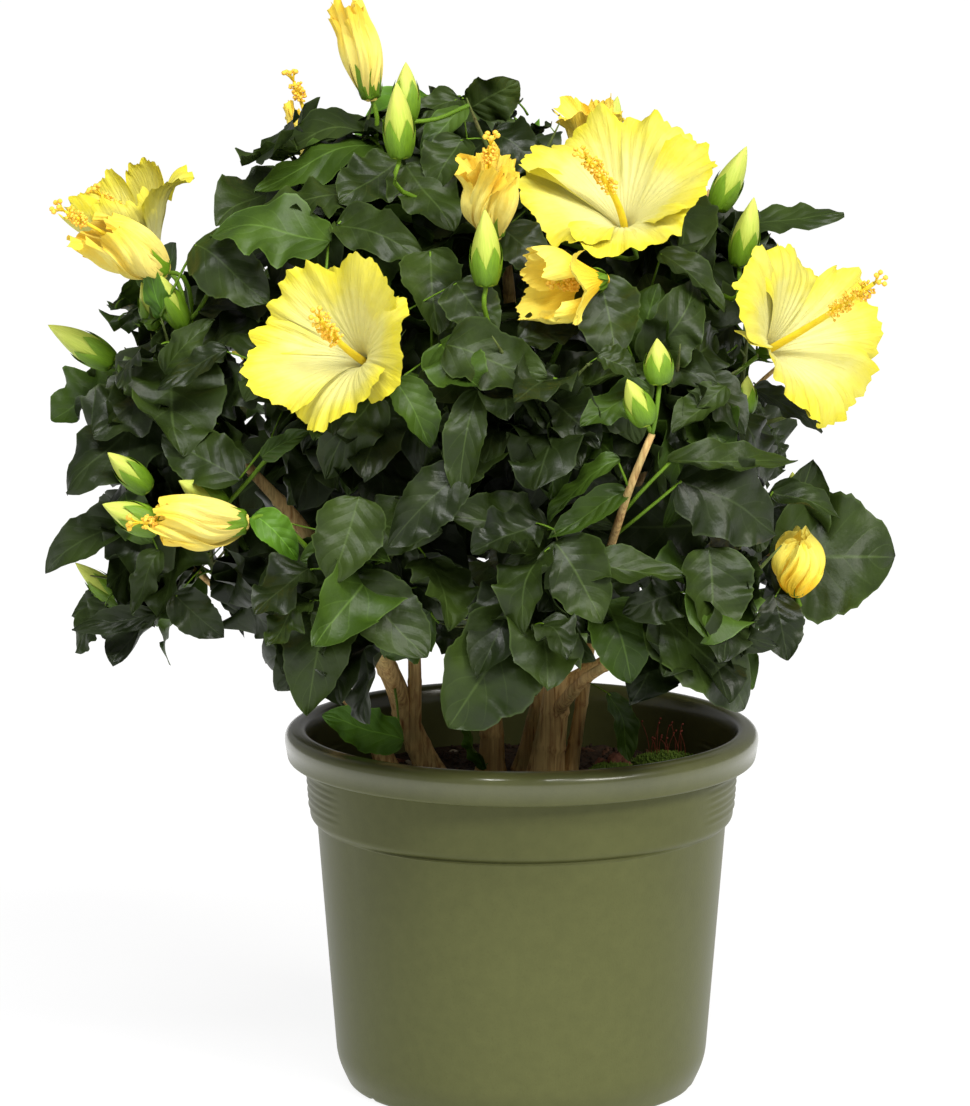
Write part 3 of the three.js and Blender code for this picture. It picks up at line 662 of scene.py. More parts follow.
def grow_leaves(mass, line, key, leaves, tries, size, apart, walled, margin=5, least=0.35, wild=1):
    """Leaves stand round a shoot at the golden angle, closer together towards its tip. With
    apart 0 they may cross each other, which only the dark inside of the crown allows."""
    for j in range(leaves):
        share = 1 - 0.8 * ((leaves - 1 - j) / leaves) ** 1.15
        root, along = curve(line, share * 0.97)[0], curve_way(line, share)[0]
        outward = unit(root - CROWN_CENTRE)
        for k in range(tries):
            roll = dice(key * 256 + j * 24 + k)
            angle = j * GOLDEN + k * 1.7 + roll() * 0.9
            forward = 0.25 + 0.4 * roll()
            petiole = unit(along * forward + around(along, angle) + outward * 0.35)
            length = size * (0.8 + 0.36 * roll()) * (1 - 0.06 * k)
            droop = least + 0.75 * roll()
            leaf = Leaf(root, petiole, outward, length, droop, wild * (1.2 * roll() - 0.6))
            samples = leaf.samples()
            if not mass.holds(samples, walled).all() or not clear_of_flowers(samples, 3):
                continue
            if not apart and span(samples.mean(0) - mass.centre) > mass.reach * 0.55:
                continue
            if not clear_of_limbs(mass, samples, margin):
                continue
            if not clear_of(samples[3:], mass.wood, margin - 1).all():
                continue
            near = crown.near(samples.mean(0), mass, walled) if apart else ()
            if clear_of(samples[6:], near, apart).all():
                leaf.tone = None if apart else 0
                crown.take(leaf, samples, mass)
                break

# %% The leaves of the construction model
TWIGS, LEAVES = 4, 7  # twigs of a mass, leaves of a twig
model = dict(tries=20, size=LEAF_LENGTH, apart=10, walled=True)
for mass in masses:
    for i in range(TWIGS):
        key = 31 + mass.number * 16 + i
        t = 0.22 + 0.74 * (i + 0.5) / TWIGS
        twig = grow_twig(mass, mass.spine, t, i * GOLDEN, mass.reach, key)
        if twig is not None:
            mass.twigs.append((twig, key))
    for flower in flowers:
        if flower.mass is mass:
            start = curve(mass.spine, 0.62)[0]
            foot = flower.foot + flower.way * 4
            mass.stalks.append(np.array([start, flower.foot - flower.way * 22, foot]))
    lines = [mass.spine, *[twig for twig, _ in mass.twigs], *mass.stalks]
    mass.wood = np.vstack([curve(line, np.linspace(0, 1, 31)) for line in lines])
    for twig, key in mass.twigs:
        grow_leaves(mass, twig, key, LEAVES, **model)
    grow_leaves(mass, mass.spine, 500 + mass.number, LEAVES, **model)
print("leaves of the construction model:", len(crown.leaves))

# %% [markdown]
# The finer shoots come from the same rule, with a shorter reach and no walls between the
# masses, so the foliage closes over the joints. Inside each mass a second set of leaves may
# cross each other: nobody sees them singly, but they keep the inside of the crown dark.

# %% Finer shoots and inner leaves
SIDE_SHOOTS = [0.25, 0.42, 0.59, 0.76, 0.93]  # where finer shoots leave a twig
for mass in masses:
    for twig, key in mass.twigs:
        for s, share in enumerate(SIDE_SHOOTS):
            shoot_key = 9000 + key * 8 + s
            shoot = grow_twig(mass, twig, share, s * GOLDEN, mass.reach * 0.62, shoot_key, False)
            if shoot is not None:
                mass.shoots.append((shoot, shoot_key))
outer = dict(tries=7, size=LEAF_LENGTH * 0.95, apart=5.5, walled=False,
             margin=3, least=0.0, wild=2.4)
for mass in masses:
    mass.reach *= 0.93
    for shoot, key in mass.shoots:
        grow_leaves(mass, shoot, key, 5, **outer)
print("leaves with the finer shoots:", len(crown.leaves))
inner = dict(tries=4, apart=0, walled=False, margin=2, least=0.1, wild=2)
for mass in masses:
    for twig, key in mass.twigs:
        grow_leaves(mass, twig, 70000 + key, 6, size=LEAF_LENGTH * 0.8, **inner)
    grow_leaves(mass, mass.spine, 80000 + mass.number, 9, size=LEAF_LENGTH * 0.85, **inner)
print("leaves with the masses' inner ones:", len(crown.leaves))

core = copy.copy(masses[9])  # a last mass in the middle of the crown, round all the limbs
core.centre, core.reach = vec(-30, 15, 480), 300
core.limbs, core.limb_room = LIMB_BEADS, LIMB_ROOM
core.wood = np.empty((0, 3))
for k, limb in enumerate(LIMBS.values()):
    grow_leaves(core, limb.path, 90000 + k, 14, size=LEAF_LENGTH * 0.85, **inner)
print("leaves with those in the middle:", len(crown.leaves))

# %% [markdown]
# Some leaves, a few buds and one cane stand out by themselves, at the edge of the crown and
# in front of it, where the eye checks them one by one. They are listed: for a leaf its foot,
# its tip, the way it faces, its width as a share of its length and its tint.
# The crown is then trimmed as a gardener would: nothing beyond its outline from the front,
# nothing over a bloom, and a clear view of the stems where they leave the soil.

# %% Leaves that stand out
OWN_LEAVES = [
    # the top of the crown
    [(-97, -70, 682), (-186, -100, 655), (-0.2, -0.6, 0.75), 0.5, 2],
    [(-98, -56, 690), (-168, -62, 682), (0.0, -0.5, 0.85), 0.6, 1],
    [(-84, -108, 674), (-124, -136, 650), (-0.1, -0.8, 0.6), 0.8, 1],
    [(-80, -112, 672), (-52, -150, 636), (0.1, -0.8, 0.6), 1.0, 1],
    [(-118, -118, 652), (-178, -130, 646), (-0.1, -0.7, 0.7), 0.7, 1],
    [(-130, -160, 625), (-206, -140, 640), (0.1, -0.6, 0.8), 0.6, 2],
    [(-127, -145, 637), (-70, -186, 622), (0.0, -0.7, 0.7), 0.55, 1],
    [(-63, -180, 624), (-60, -216, 576), (-0.1, -0.9, 0.4), 0.75, 1],
    [(-36, -60, 706), (-6, -66, 726), (0.2, -1.0, 0.1), 1.0, 1],
    [(-22, -70, 690), (16, -90, 672), (0.1, -0.8, 0.6), 0.7, 0],
    [(-40, -72, 708), (-68, -100, 684), (-0.1, -0.8, 0.6), 0.55, 2],
    [(-44, -52, 712), (-78, -62, 696), (0.0, -0.6, 0.8), 0.7, 1],
    [(-42, -104, 690), (-60, -130, 662), (-0.1, -0.85, 0.5), 0.9, 1],
    [(-14, -176, 638), (16, -198, 612), (0.0, -0.85, 0.5), 0.8, 0],
    [(92, -150, 618), (138, -170, 584), (0.1, -0.8, 0.6), 0.6, 1],
    [(152, -26, 620), (222, -40, 629), (0.1, -0.55, 0.8), 0.5, 1],
    # the middle
    [(-46, -208, 606), (-22, -228, 574), (-0.2, -0.9, 0.4), 0.95, 1],
    [(-52, -232, 566), (12, -252, 546), (0.0, -0.85, 0.5), 0.65, 1],
    [(-30, -240, 538), (-50, -262, 470), (-0.2, -0.95, 0.2), 0.5, 1],
    [(50, -196, 608), (66, -228, 556), (0.1, -0.9, 0.4), 0.8, 1],
    [(84, -222, 534), (38, -244, 520), (0.0, -0.7, 0.7), 0.5, 2],
    [(136, -186, 530), (100, -214, 504), (0.0, -0.8, 0.6), 0.65, 1],
    [(64, -250, 492), (10, -262, 458), (0.0, -0.7, 0.7), 0.4, 2],
    [(96, -236, 488), (180, -192, 474), (0.0, -0.6, 0.8), 0.35, 1],
    [(70, -236, 468), (18, -246, 442), (0.0, -0.75, 0.65), 0.5, 2],
    [(104, -224, 474), (176, -196, 436), (0.2, -0.85, 0.5), 0.65, 0],
    [(168, -162, 456), (216, -160, 440), (0.2, -0.8, 0.5), 0.6, 1],
    [(160, -70, 512), (206, -60, 488), (0.1, -0.8, 0.6), 0.45, 0],
    [(-86, -236, 544), (-58, -254, 502), (0.0, -0.9, 0.4), 0.7, 2],
    [(-40, -248, 484), (-90, -262, 444), (-0.1, -0.9, 0.4), 0.8, 0],
    [(-110, -244, 466), (-124, -264, 412), (-0.1, -0.95, 0.3), 0.8, 1],
    [(-176, -204, 486), (-148, -216, 504), (-0.2, -0.8, 0.5), 0.55, 2],
    [(-182, -198, 446), (-150, -212, 422), (-0.1, -0.8, 0.6), 0.7, 3],
    # the left side
    [(-224, -120, 620), (-176, -160, 586), (-0.1, -0.8, 0.6), 0.6, 1],
    [(-236, -108, 560), (-262, -130, 600), (-0.5, -0.8, 0.1), 0.42, 3],
    [(-244, -146, 534), (-212, -160, 574), (-0.3, -0.8, 0.5), 0.5, 1],
    [(-200, -170, 554), (-244, -168, 532), (-0.2, -0.8, 0.5), 0.5, 0],
    [(-242, -130, 518), (-310, -150, 464), (-0.25, -0.8, 0.5), 0.75, 0],
    [(-190, -190, 468), (-246, -168, 492), (-0.2, -0.8, 0.5), 0.75, 1],
    [(-258, -120, 432), (-336, -128, 402), (0.1, -0.8, 0.55), 0.48, 1],
    [(-248, -146, 412), (-268, -158, 372), (-0.3, -0.8, 0.4), 0.6, 1],
    [(-250, -116, 362), (-304, -116, 350), (-0.2, -0.8, 0.5), 0.45, 0],
    [(-238, -160, 384), (-206, -176, 354), (-0.2, -0.85, 0.4), 0.7, 0],
    # leaves that hang over the rim, and low ones inside it
    [(-128, -216, 398), (-146, -248, 320), (-0.1, -0.95, 0.2), 0.62, 1],
    [(-114, -236, 410), (-72, -254, 356), (0.0, -0.95, 0.25), 0.62, 1],
    [(4, -238, 384), (-48, -262, 322), (0.0, -0.9, 0.35), 0.85, 1],
    [(14, -222, 352), (-36, -244, 320), (0.1, -0.9, 0.4), 0.6, 1],
    [(20, -246, 436), (56, -264, 390), (0.0, -0.85, 0.5), 0.85, 1],
    [(34, -246, 420), (112, -240, 410), (0.0, -0.75, 0.65), 0.4, 1],
    [(56, -206, 388), (76, -226, 342), (0.1, -0.9, 0.4), 0.9, 2],
    [(86, -214, 384), (162, -226, 320), (0.2, -0.85, 0.45), 0.55, 1],
    [(124, -214, 426), (132, -238, 364), (0.15, -0.9, 0.35), 0.95, 1],
    [(172, -150, 382), (180, -164, 342), (0.1, -0.9, 0.3), 0.8, 0],
    [(170, -118, 404), (258, -114, 396), (0.0, -0.95, 0.3), 1.0, 1],
    [(-84, -70, 262), (-138, -86, 284), (-0.2, -0.8, 0.6), 0.62, 3],
    [(-27, -8, 228), (-39, -14, 266), (-0.6, -0.8, 0.1), 0.45, 3],
    [(62, -15, 286), (78, -20, 240), (0.7, -0.7, 0.0), 0.45, 2],
]
CANE = vec((44, -120, 360), (56, -200, 415), (70, -244, 470), (85, -254, 510))
OWN_BUDS = [  # foot of the calyx, tip of the bud, radius
    [(-80, -104, 700), (-80, -100, 742), 9], [(-276, -62, 356), (-312, -62, 388), 8],
    [(-254, -160, 456), (-282, -172, 484), 8.5], [(-245, -196, 436), (-284, -204, 454), 10],
    [(-202, -178, 447), (-233, -192, 468), 9], [(82, -254, 516), (68, -262, 548), 9],
    [(90, -250, 542), (88, -252, 574), 9], [(151, -142, 505), (153, -140, 532), 7],
    [(188, -62, 424), (188, -60, 452), 7], [(-232, -110, 560), (-250, -120, 600), 8],
    [(-252, -90, 556), (-262, -96, 590), 7], [(-214, -100, 585), (-222, -106, 612), 7],
]
# the crown's outline from the front, x and z in the plane where y is OUTLINE_Y
OUTLINE = vec((-275, 318), (-312, 330), (-309, 372), (-288, 390), (-300, 432), (-322, 453),
              (-328, 505), (-298, 548), (-278, 590), (-240, 618), (-210, 645), (-185, 680),
              (-150, 708), (-90, 740), (-20, 735), (5, 700), (60, 680), (125, 650), (165, 640),
              (172, 600), (168, 560), (210, 505), (196, 470), (228, 430), (222, 350), (180, 322),
              (155, 300), (20, 290), (-130, 294), (-190, 302), (-205, 335))
OUTLINE_Y = -60
EYE_X, EYE_AWAY = -26, 4400  # where the eye stands, and how far away
FALL = 0.181  # how much lower the eye's line runs for each step away from it
FRONT = unit(vec(0, -0.984, 0.178))  # from the crown towards the eye


def within_outline(points):
    """True where a point lies inside OUTLINE seen from the front: a level line from it to
    the right crosses the outline an odd number of times."""
    behind = points[:, 1:2] - OUTLINE_Y
    x = EYE_X + (points[:, :1] - EYE_X) * (1 - behind / EYE_AWAY)
    z = points[:, 2:] + FALL * behind
    (x0, z0), (x1, z1) = OUTLINE.T, np.roll(OUTLINE, -1, axis=0).T
    crossed = (z0 > z) != (z1 > z)
    where = x0 + (z - z0) / np.where(z1 == z0, 1, z1 - z0) * (x1 - x0)
    return (crossed & (x < where)).sum(1) % 2 == 1


def covers_bloom(samples):
    """True where most of a leaf stands before a bloom, seen along FRONT."""
    for flower in flowers:
        if flower.foot[1] > -30:
            continue  # a bloom at the back
        depth = flower.size * flower.cup if flower.kind == "open" else flower.size * 1.6
        away = samples - flower.foot - flower.way * depth * 0.9
        flat = away - (away @ FRONT)[:, None] * FRONT
        wide = 0.95 if flower.kind == "open" else 1.5
        if ((away @ FRONT > -10) & (span(flat) < flower.size * wide)).sum() > 2:
            return True
    return False


def hides_stems(samples):
    """True for a leaf that hangs low in front of the stems, where the eye looks in."""
    low = samples[(samples[:, 2] < 345) & (samples[:, 1] < -30)]
    return len(low) > 0 and -125 < low[0][0] < 95


def covers_cane(samples):
    """True where a leaf hides the cane that rises before the middle of the crown."""
    away = samples[:, None] - curve(CANE, np.linspace(0.3, 1, 8))[None]
    flat = away - (away @ FRONT)[..., None] * FRONT
    return ((away @ FRONT > -6) & (span(flat) < 9)).any()


def trimmed(samples):
    if covers_bloom(samples) or hides_stems(samples) or covers_cane(samples):
        return True
    return within_outline(samples).mean() < 0.85


def keep_leaves(kept):
    for name in ("leaves", "samples", "middles", "owner"):
        setattr(crown, name, [x for x, wanted in zip(getattr(crown, name), kept) if wanted])


def stand_alone(foot, tip, face, width, tone):
    """A leaf between two given points, rooted in the nearest wood behind its foot."""
    foot, tip = vec(*foot), vec(*tip)
    behind = WOOD[(WOOD - foot) @ FRONT < -8]
    root = behind[np.argmin(span(behind - foot))]
    leaf = Leaf(root, unit(foot - root), unit(tip - foot), span(tip - foot), 0, 0)
    leaf.foot, leaf.way, leaf.width, leaf.tone = foot, unit(tip - foot), leaf.length * width, tone
    leaf.up = unit(vec(*face) - leaf.way * (vec(*face) @ leaf.way))
    leaf.side = np.cross(leaf.way, leaf.up)
    return leaf


def bears(line):
    """How far along a shoot its last leaf is left, as a share of its length; 0 without any."""
    t = np.linspace(0, 1, 21)
    apart = span(curve(line, t)[:, None] - ROOTS[None]).min(1)
    return max(t[apart < 2.5], default=0)


def last_leaf(line):
    """The shoot cut back to its last leaf, as four points."""
    return curve(line, np.linspace(0, 1, 4) * bears(line))


# %% Trimming, and the leaves that stand out
keep_leaves([not trimmed(samples) for samples in crown.samples])
print("leaves after trimming:", len(crown.leaves))
ROOTS = np.array([leaf.root for leaf in crown.leaves])
for mass in masses:
    inside = lambda line: within_outline(curve(line, [0.3, 0.6, 0.9])).all()
    mass.twigs = [(twig, key) for twig, key in mass.twigs if inside(twig)]
    mass.shoots = [(last_leaf(shoot), key) for shoot, key in mass.shoots
                   if inside(shoot) and bears(shoot) > 0]
t = np.linspace(0, 1, 41)
lines = [line for mass in masses for line in
         [mass.spine, *[twig for twig, _ in mass.twigs], *[shoot for shoot, _ in mass.shoots]]]
WOOD = np.vstack([LIMB_BEADS, curve(CANE, t), *[curve(line, t) for line in lines]])
for plan in OWN_LEAVES:
    leaf = stand_alone(*plan)
    middle = leaf.foot + leaf.way * leaf.length / 2
    away = np.array(crown.middles) - middle
    beside = span(away - (away @ FRONT)[:, None] * FRONT)
    # a grown leaf makes way unless it lies behind this one or well beside it
    placed = np.array([bool(other.tone) for other in crown.leaves])
    keep_leaves(placed | (away @ FRONT < -12) | (beside > 26))
    crown.take(leaf, leaf.samples(), nearest_mass(middle))
print("leaves in all:", len(crown.leaves), "of them standing out:", len(OWN_LEAVES))

# %% [markdown]
# ## Leaves
# A hibiscus leaf is a broad pointed oval with a few uneven teeth, wavy at the edge, glossy on
# top and creased along the midrib. It could be a card with a picture on it, but a card has no
# edge. Each leaf here is a net of 24 rows and 7 columns with its own outline, bent by its own
# wave, fold, twist and droop, and the veins are left to the finish.

# %% Leaf nets
LEAF_ROWS = np.concatenate([[0, 0.025, 0.07], np.linspace(0.12, 0.94, 19), [0.975, 1.0]])
LEAF_COLUMNS = np.array([-1, -0.7, -0.35, 0, 0.35, 0.7, 1])


def arc(reach, turn):
    """Where a point at the distance `reach` along an arc lies, if the arc has turned by
    `turn` on the way there: sin(turn) / turn ahead and (1 - cos(turn)) / turn aside."""
    turn = np.where(np.abs(turn) < 1e-3, 1e-3, turn)
    return reach * np.sin(turn) / turn, reach * (1 - np.cos(turn)) / turn


def blade_half_width(u):
    """Half a blade's width at the share u of its length: rounder than the construction leaf,
    and drawn out to a short point by the last factor."""
    return np.sin(np.pi * u**0.74) ** 0.54 * (1 - 0.4 * u**12) / 2


def leaf_nets(leaves, seed):
    """Nets of all the leaves, (count, 24, 7, 3) in mm. The midrib is an arc that turns down
    by `droop`, the section across it an arc that turns up by `curl`, on each side. The
    direction across turns about the blade by a twist. To that come waves in the edge that
    grow with v, and the outline, narrowed or widened at each row by chance. Listed leaves
    droop, lean and twist half as much."""
    rng = np.random.default_rng(seed)
    n = len(leaves)
    pick = lambda low, high: rng.uniform(low, high, n)[:, None, None]
    stack = lambda name: np.array([getattr(leaf, name) for leaf in leaves])
    foot, way, up, side = (stack(name)[:, None, None] for name in ("foot", "way", "up", "side"))
    length = stack("length")[:, None, None] * pick(0.96, 1.14)
    width = stack("width")[:, None, None] * pick(0.8, 1.12)
    wild = np.array([1.0 if leaf.tone is None else 0.5 for leaf in leaves])[:, None, None]
    u, v = grid(LEAF_ROWS, LEAF_COLUMNS)
    rows = len(LEAF_ROWS)
    left, right = (rng.uniform(-1, 1, (n, rows, 1)) for _ in range(2))
    alternate = np.where(np.arange(rows) % 2, 1, -1)[:, None]
    tooth = (np.where(v > 0, left, right) + alternate) * (u > 0.25) * (u < 0.98) * (np.abs(v) > 0.9)
    wander = TURN * pick(2.8, 5.0) * u
    lobes = np.sin(wander + np.where(v > 0, pick(0, TURN), pick(0, TURN))) * (u > 0.2)
    half = np.maximum(width * blade_half_width(u ** pick(0.86, 1.1)), 0.7)
    half = half * (1 + 0.018 * tooth + 0.032 * lobes * np.abs(v) ** 3)
    droop = 0.1 + wild * pick(0, 1) ** 1.5 * pick(-0.5, 2.0) * u
    ahead, down = arc(length * u, droop * u)
    curl = np.where(v > 0, pick(-0.5, 1.4), pick(-0.5, 1.4)) * np.abs(v)
    over, rise = arc(v * half, np.sign(v) * curl)
    phase = np.where(v > 0, pick(0, TURN), pick(0, TURN))
    beat = np.where(v > 0, pick(1.6, 4.0), pick(1.6, 4.0))
    strength = (0.4 + 0.6 * wild) * np.abs(v) ** 1.6 * half
    strength = strength * np.sin(np.pi * np.clip(u, 0, 1)) ** 0.4
    rise = rise + strength * pick(0.16, 0.44) * np.sin(TURN * beat * u + phase)
    rise = rise + strength * 0.07 * np.sin(TURN * 4.7 * u + 2 * phase)
    roll = np.sin(TURN * (u * pick(0.6, 1.2) + pick(0, 1))) * np.cos(2.2 * v + pick(0, 6))
    rise = rise + length * 0.035 * roll
    lean = wild * length * u * u * pick(-0.2, 0.2)
    turn = wild * pick(-0.9, 0.9) * (u - 0.1)
    out = side * np.cos(turn)[..., None] + up * np.sin(turn)[..., None]
    lift = up * np.cos(turn)[..., None] - side * np.sin(turn)[..., None]
    arch = length * 0.05 * np.sin(np.pi * u) - down
    sway = length * pick(0.0, 0.05) * np.sin(TURN * (1.2 * u + pick(0, 1)))
    points = foot + way * ahead[..., None] - up * (-arch)[..., None] + up * sway[..., None]
    return points + side * lean[..., None] + out * over[..., None] + lift * rise[..., None]


def leaf_marks():
    """A leaf's own UVs: u along the blade, v from 0 at one edge to 1 at the other."""
    u, v = grid(LEAF_ROWS, LEAF_COLUMNS)
    return np.stack([u, (v + 1) / 2], -1)


def stalk_paths(leaves):
    """The leaf stalks as arched paths of four points, from the root into the blade's foot."""
    t = np.linspace(0, 1, 4)[None, :, None]
    root, foot, way, up = (np.array([getattr(x, k) for x in leaves])[:, None] for k in
                           ("root", "foot", "way", "up"))
    length = np.array([x.length for x in leaves])[:, None, None]
    arch = up * np.sin(np.pi * t) * length * 0.03
    return root + (foot + way * 2 - root) * t + arch


# %% [markdown]
# ### The leaf's finish
# Old leaves are a deep olive green, young ones a fresh grass green, and all are waxy, so
# that they mirror a lamp in soft patches. The tint is dealt out leaf by leaf as plain
# materials. Over it the finish draws the midrib and faint side veins from the leaf's own UVs,
# a paler edge, and puffs the blade up a little between the veins.


# %% Leaf finishes
def leaf_finish(name, deep, light, gloss):
    leaf = Finish(name, {"Specular IOR Level": 0.3})
    along, over = leaf.marks()
    out = (over - 0.5).size() * 2
    cloud = leaf.noise(30.0, 3.0)
    # side veins leave the midrib forwards, so each lies where along minus a share of out is even
    ladder = ((along - out * 0.34) * 5.2 + cloud * 0.25).zigzag(0.5)
    side_vein = (1 - ladder.ramp(0.0, 0.05)) * (1 - out.ramp(0.5, 0.95)) * 0.35
    midrib = (1 - out.ramp(0.01, 0.045)) * 0.8
    blade = leaf.mix(deep, light, cloud.ramp(0.38, 0.68))
    pale = tuple(min(1.0, 2.2 * channel + 0.02) for channel in light[:3]) + (1.0,)
    edge = out.ramp(0.93, 0.99) * 0.8
    colour = leaf.mix(blade, pale, midrib.larger(side_vein).larger(edge) * 0.5)
    height = ladder.ramp(0.0, 0.4) * (1 - out.ramp(0.5, 1.0)) * 0.35
    height = height + cloud + leaf.noise(110.0, 3.0) * 0.6
    normal = leaf.bump(height, 2.2, 0.6)
    return leaf.show(colour=colour, roughness=cloud * 0.2 + gloss, normal=normal)


LEAF_FINISHES = [
    leaf_finish("leaf_deep_green", paint(24, 35, 8), paint(36, 49, 12), 0.34),
    leaf_finish("leaf_dark_green", paint(35, 49, 11), paint(50, 67, 17), 0.37),
    leaf_finish("leaf_mid_green", paint(46, 68, 12), paint(64, 89, 22), 0.39),
    leaf_finish("leaf_fresh_green", paint(60, 98, 14), paint(86, 128, 30), 0.4),
]

# %% Leaves and their stalks
storeys = {"low": range(0, 7), "middle": range(7, 14), "top": range(14, 18)}
owner = np.array(crown.owner)
given = np.array([-1 if leaf.tone is None else leaf.tone for leaf in crown.leaves])
chance = np.random.default_rng(5).random(len(crown.leaves)) * 0.97
# The top storey gets the fresher, lighter tints more often: partly young growth, partly painted light
# for the lit top of the crown.
chance = chance + 0.2 * (owner >= storeys["top"][0])  # young leaves stand at the top
tones = np.where(given >= 0, given, np.searchsorted([0.32, 0.72, 0.98], chance))
nets = leaf_nets(crown.leaves, 11)
stalks = stalk_paths(crown.leaves)
thick = np.array([[leaf.length] for leaf in crown.leaves]) * vec(0.017, 0.014, 0.013, 0.012)
for storey, numbers in storeys.items():
    chosen = np.isin(owner, list(numbers))
    heap = Heap()
    heap.add(nets[chosen], leaf_marks(), tones[chosen])
    nodes = ["leaves_" + masses[k].name for k in numbers]
    heap.piece(f"leaves_{storey}", LEAF_FINISHES, "foliage", nodes, weld=0)

# %% [markdown]
# ## Stems, boughs and twigs
# The old wood is tan and fibrous, ringed where leaves once stood, and each bough is one limb
# that tapers out of its parent. A curve with a bevel would be round and smooth. Here a circle
# is carried along the limb's path and its radius changes with the angle and the length: long
# shallow furrows, and a swollen ring every few centimetres.


# %% Limbs with bark relief
def limb_net(limb, number, rows=90, sides=26):
    """One limb, (1, rows + 2, sides + 1, 3). Radius at angle a and length s along the limb is the
    taper times 1 + furrows, sines of several times a that wander with s, plus rings, narrow
    bells every 30 mm or so."""
    rng = np.random.default_rng(700 + number)
    t = np.linspace(0, 1, rows)
    path = curve(limb.path, t)
    s = np.append(0, np.cumsum(span(np.diff(path, axis=0))))
    ways = unit(np.gradient(path, axis=0))
    side = unit(np.cross(ways, vec(0.15, 1, 0.1)))
    other = np.cross(ways, side)
    a = np.linspace(0, TURN, sides + 1)[None]
    far = s[:, None]
    p = rng.uniform(0, TURN, 6)
    furrows = 0.035 * np.sin(4 * a + 1.8 * np.sin(far / 41 + p[0]) + p[1])
    furrows = furrows + 0.022 * np.sin(9 * a + 1.5 * np.sin(far / 23 + p[2]) + p[3])
    furrows = furrows + 0.014 * np.sin(15 * a + far / 6 + p[4]) * np.sin(far / 17 + p[5])
    places = np.cumsum(rng.uniform(24, 44, 14))
    rings = sum(np.exp(-(((far - k) / 1.8) ** 2)) for k in places) * (1 + 0.4 * np.sin(a + p[1]))
    radius = limb.radius_at(t)[:, None] * (1 + furrows) + rings * (0.35 + 0.05 * limb.radius)
    ring = side[:, None] * np.cos(a)[..., None] + other[:, None] * np.sin(a)[..., None]
    body = path[:, None] + ring * radius[..., None]
    first, last = (np.repeat(path[[k], None], sides + 1, axis=1) for k in (0, -1))
    return np.concatenate([first, body, last])[None]


wood = Heap()
for number, limb in enumerate(LIMBS.values()):
    wood.add(limb_net(limb, number))


# %% The bark's finish
def bark_finish(name, tan, brown, grey):
    bark = Finish(name, {"Specular IOR Level": 0.3})
    x, y, z = (bark.add("ShaderNodeSeparateXYZ", {}, {0: bark.place()}, out=k) for k in range(3))
    fibre = bark.noise(420.0, 5.0, bark.point(x, y, z * 0.035), 0.6)
    patch = bark.noise(34.0, 3.0)
    speck = bark.noise(900.0, 2.0)
    colour = bark.mix(tan, brown, fibre.ramp(0.4, 0.72))
    colour = bark.mix(colour, grey, patch.ramp(0.52, 0.72) * 0.7)
    normal = bark.bump(fibre + speck * 0.25, 0.9, 0.7)
    return bark.show(colour=colour, roughness=patch * 0.2 + 0.62, normal=normal)


BARK = bark_finish("bark_tan", paint(216, 184, 120), paint(142, 94, 48), paint(166, 156, 98))
GREEN_BARK = bark_finish("bark_green", paint(96, 110, 52), paint(74, 84, 40), paint(120, 112, 72))
wood.piece("stems_and_boughs", [BARK, GREEN_BARK], "bark", list(LIMBS))

# %% [markdown]
# Twigs and flower stalks are thin green-brown tubes. Hundreds are made at once, by carrying a
# circle along all their paths in one array.

# %% Twigs
t = np.linspace(0, 1, 9)
twigs = Heap()
spines = np.array([curve(mass.spine, t) for mass in masses])
spine_foot = np.array([mass.foot_radius for mass in masses])[:, None]
twigs.add(tubes(spines, spine_foot * (1 - 0.55 * t), 8))
side_twigs = np.array([curve(twig, t * 0.97) for mass in masses for twig, _ in mass.twigs])
twigs.add(tubes(side_twigs, TWIG_RADIUS * (1 - 0.8 * t**2), 7), tone=1)
fine = np.array([curve(shoot, t[::2] * 0.94) for mass in masses for shoot, _ in mass.shoots])
twigs.add(tubes(fine, 1.4 * (1 - 0.9 * t[::2]), 6), tone=1)
twigs.add(tubes(curve(CANE, t)[None], np.linspace(3.4, 2.4, 9), 9))
twigs.piece("twigs", [BARK, GREEN_BARK], "bark")

# %% [markdown]
# ## Open blooms
# A bloom is five petals that overlap like a pinwheel: together they leave the calyx as a
# narrow tube and open as a trumpet, thin, pleated, and crimped along the edge. A cloth
# simulation could crumple them, but not the same way on every run. So a petal is a net in the
# flower's own frame: one parameter runs from the throat to the edge, the other across, and
# the ruffles are sine waves that grow towards the edge.

# %% Petals
TUBE = 3.2  # radius where the petals leave the calyx
TRUMPET = 0.56  # power of an open bloom's profile; that of a more closed one is nearer 1
# open blooms: how far the column reaches past the rim, the way it leans, how far the edges
# fall back and how much they fold in, as shares of the flower's size, and the profile's power
HABITS = {
    0: (0.3, (0.1, 0, 0.1), 0.08, 0.0, TRUMPET), 1: (0.16, (-0.3, 0, 0), 0.16, 0.0, TRUMPET),
    2: (0.85, (0.0, 0, 0.1), 0.2, 0.0, TRUMPET),
    3: (-0.2, (-0.25, 0, 0.0), 0.0, 0.4, 0.75),
    4: (0.5, (0.1, 0, 0.1), 0.2, 0.0, TRUMPET), 5: (0.5, (0, 0, 0.1), 0.2, 0.0, TRUMPET),
    10: (-0.6, (0, 0, 0.1), 0.0, 0.55, 0.8),
}
SPENT = 10  # the number of the bloom that has dropped and folded


def move_bloom(number, *plan):
    """Gives a bloom a new place, and leads the end of its stalk there."""
    old, new = flowers[number], Flower("open", *plan)
    stalks = [stalk for mass in masses for stalk in mass.stalks]
    nearest = min(stalks, key=lambda stalk: span(np.array(stalk[-1]) - old.foot))
    nearest[-1] = new.foot
    flowers[number] = new


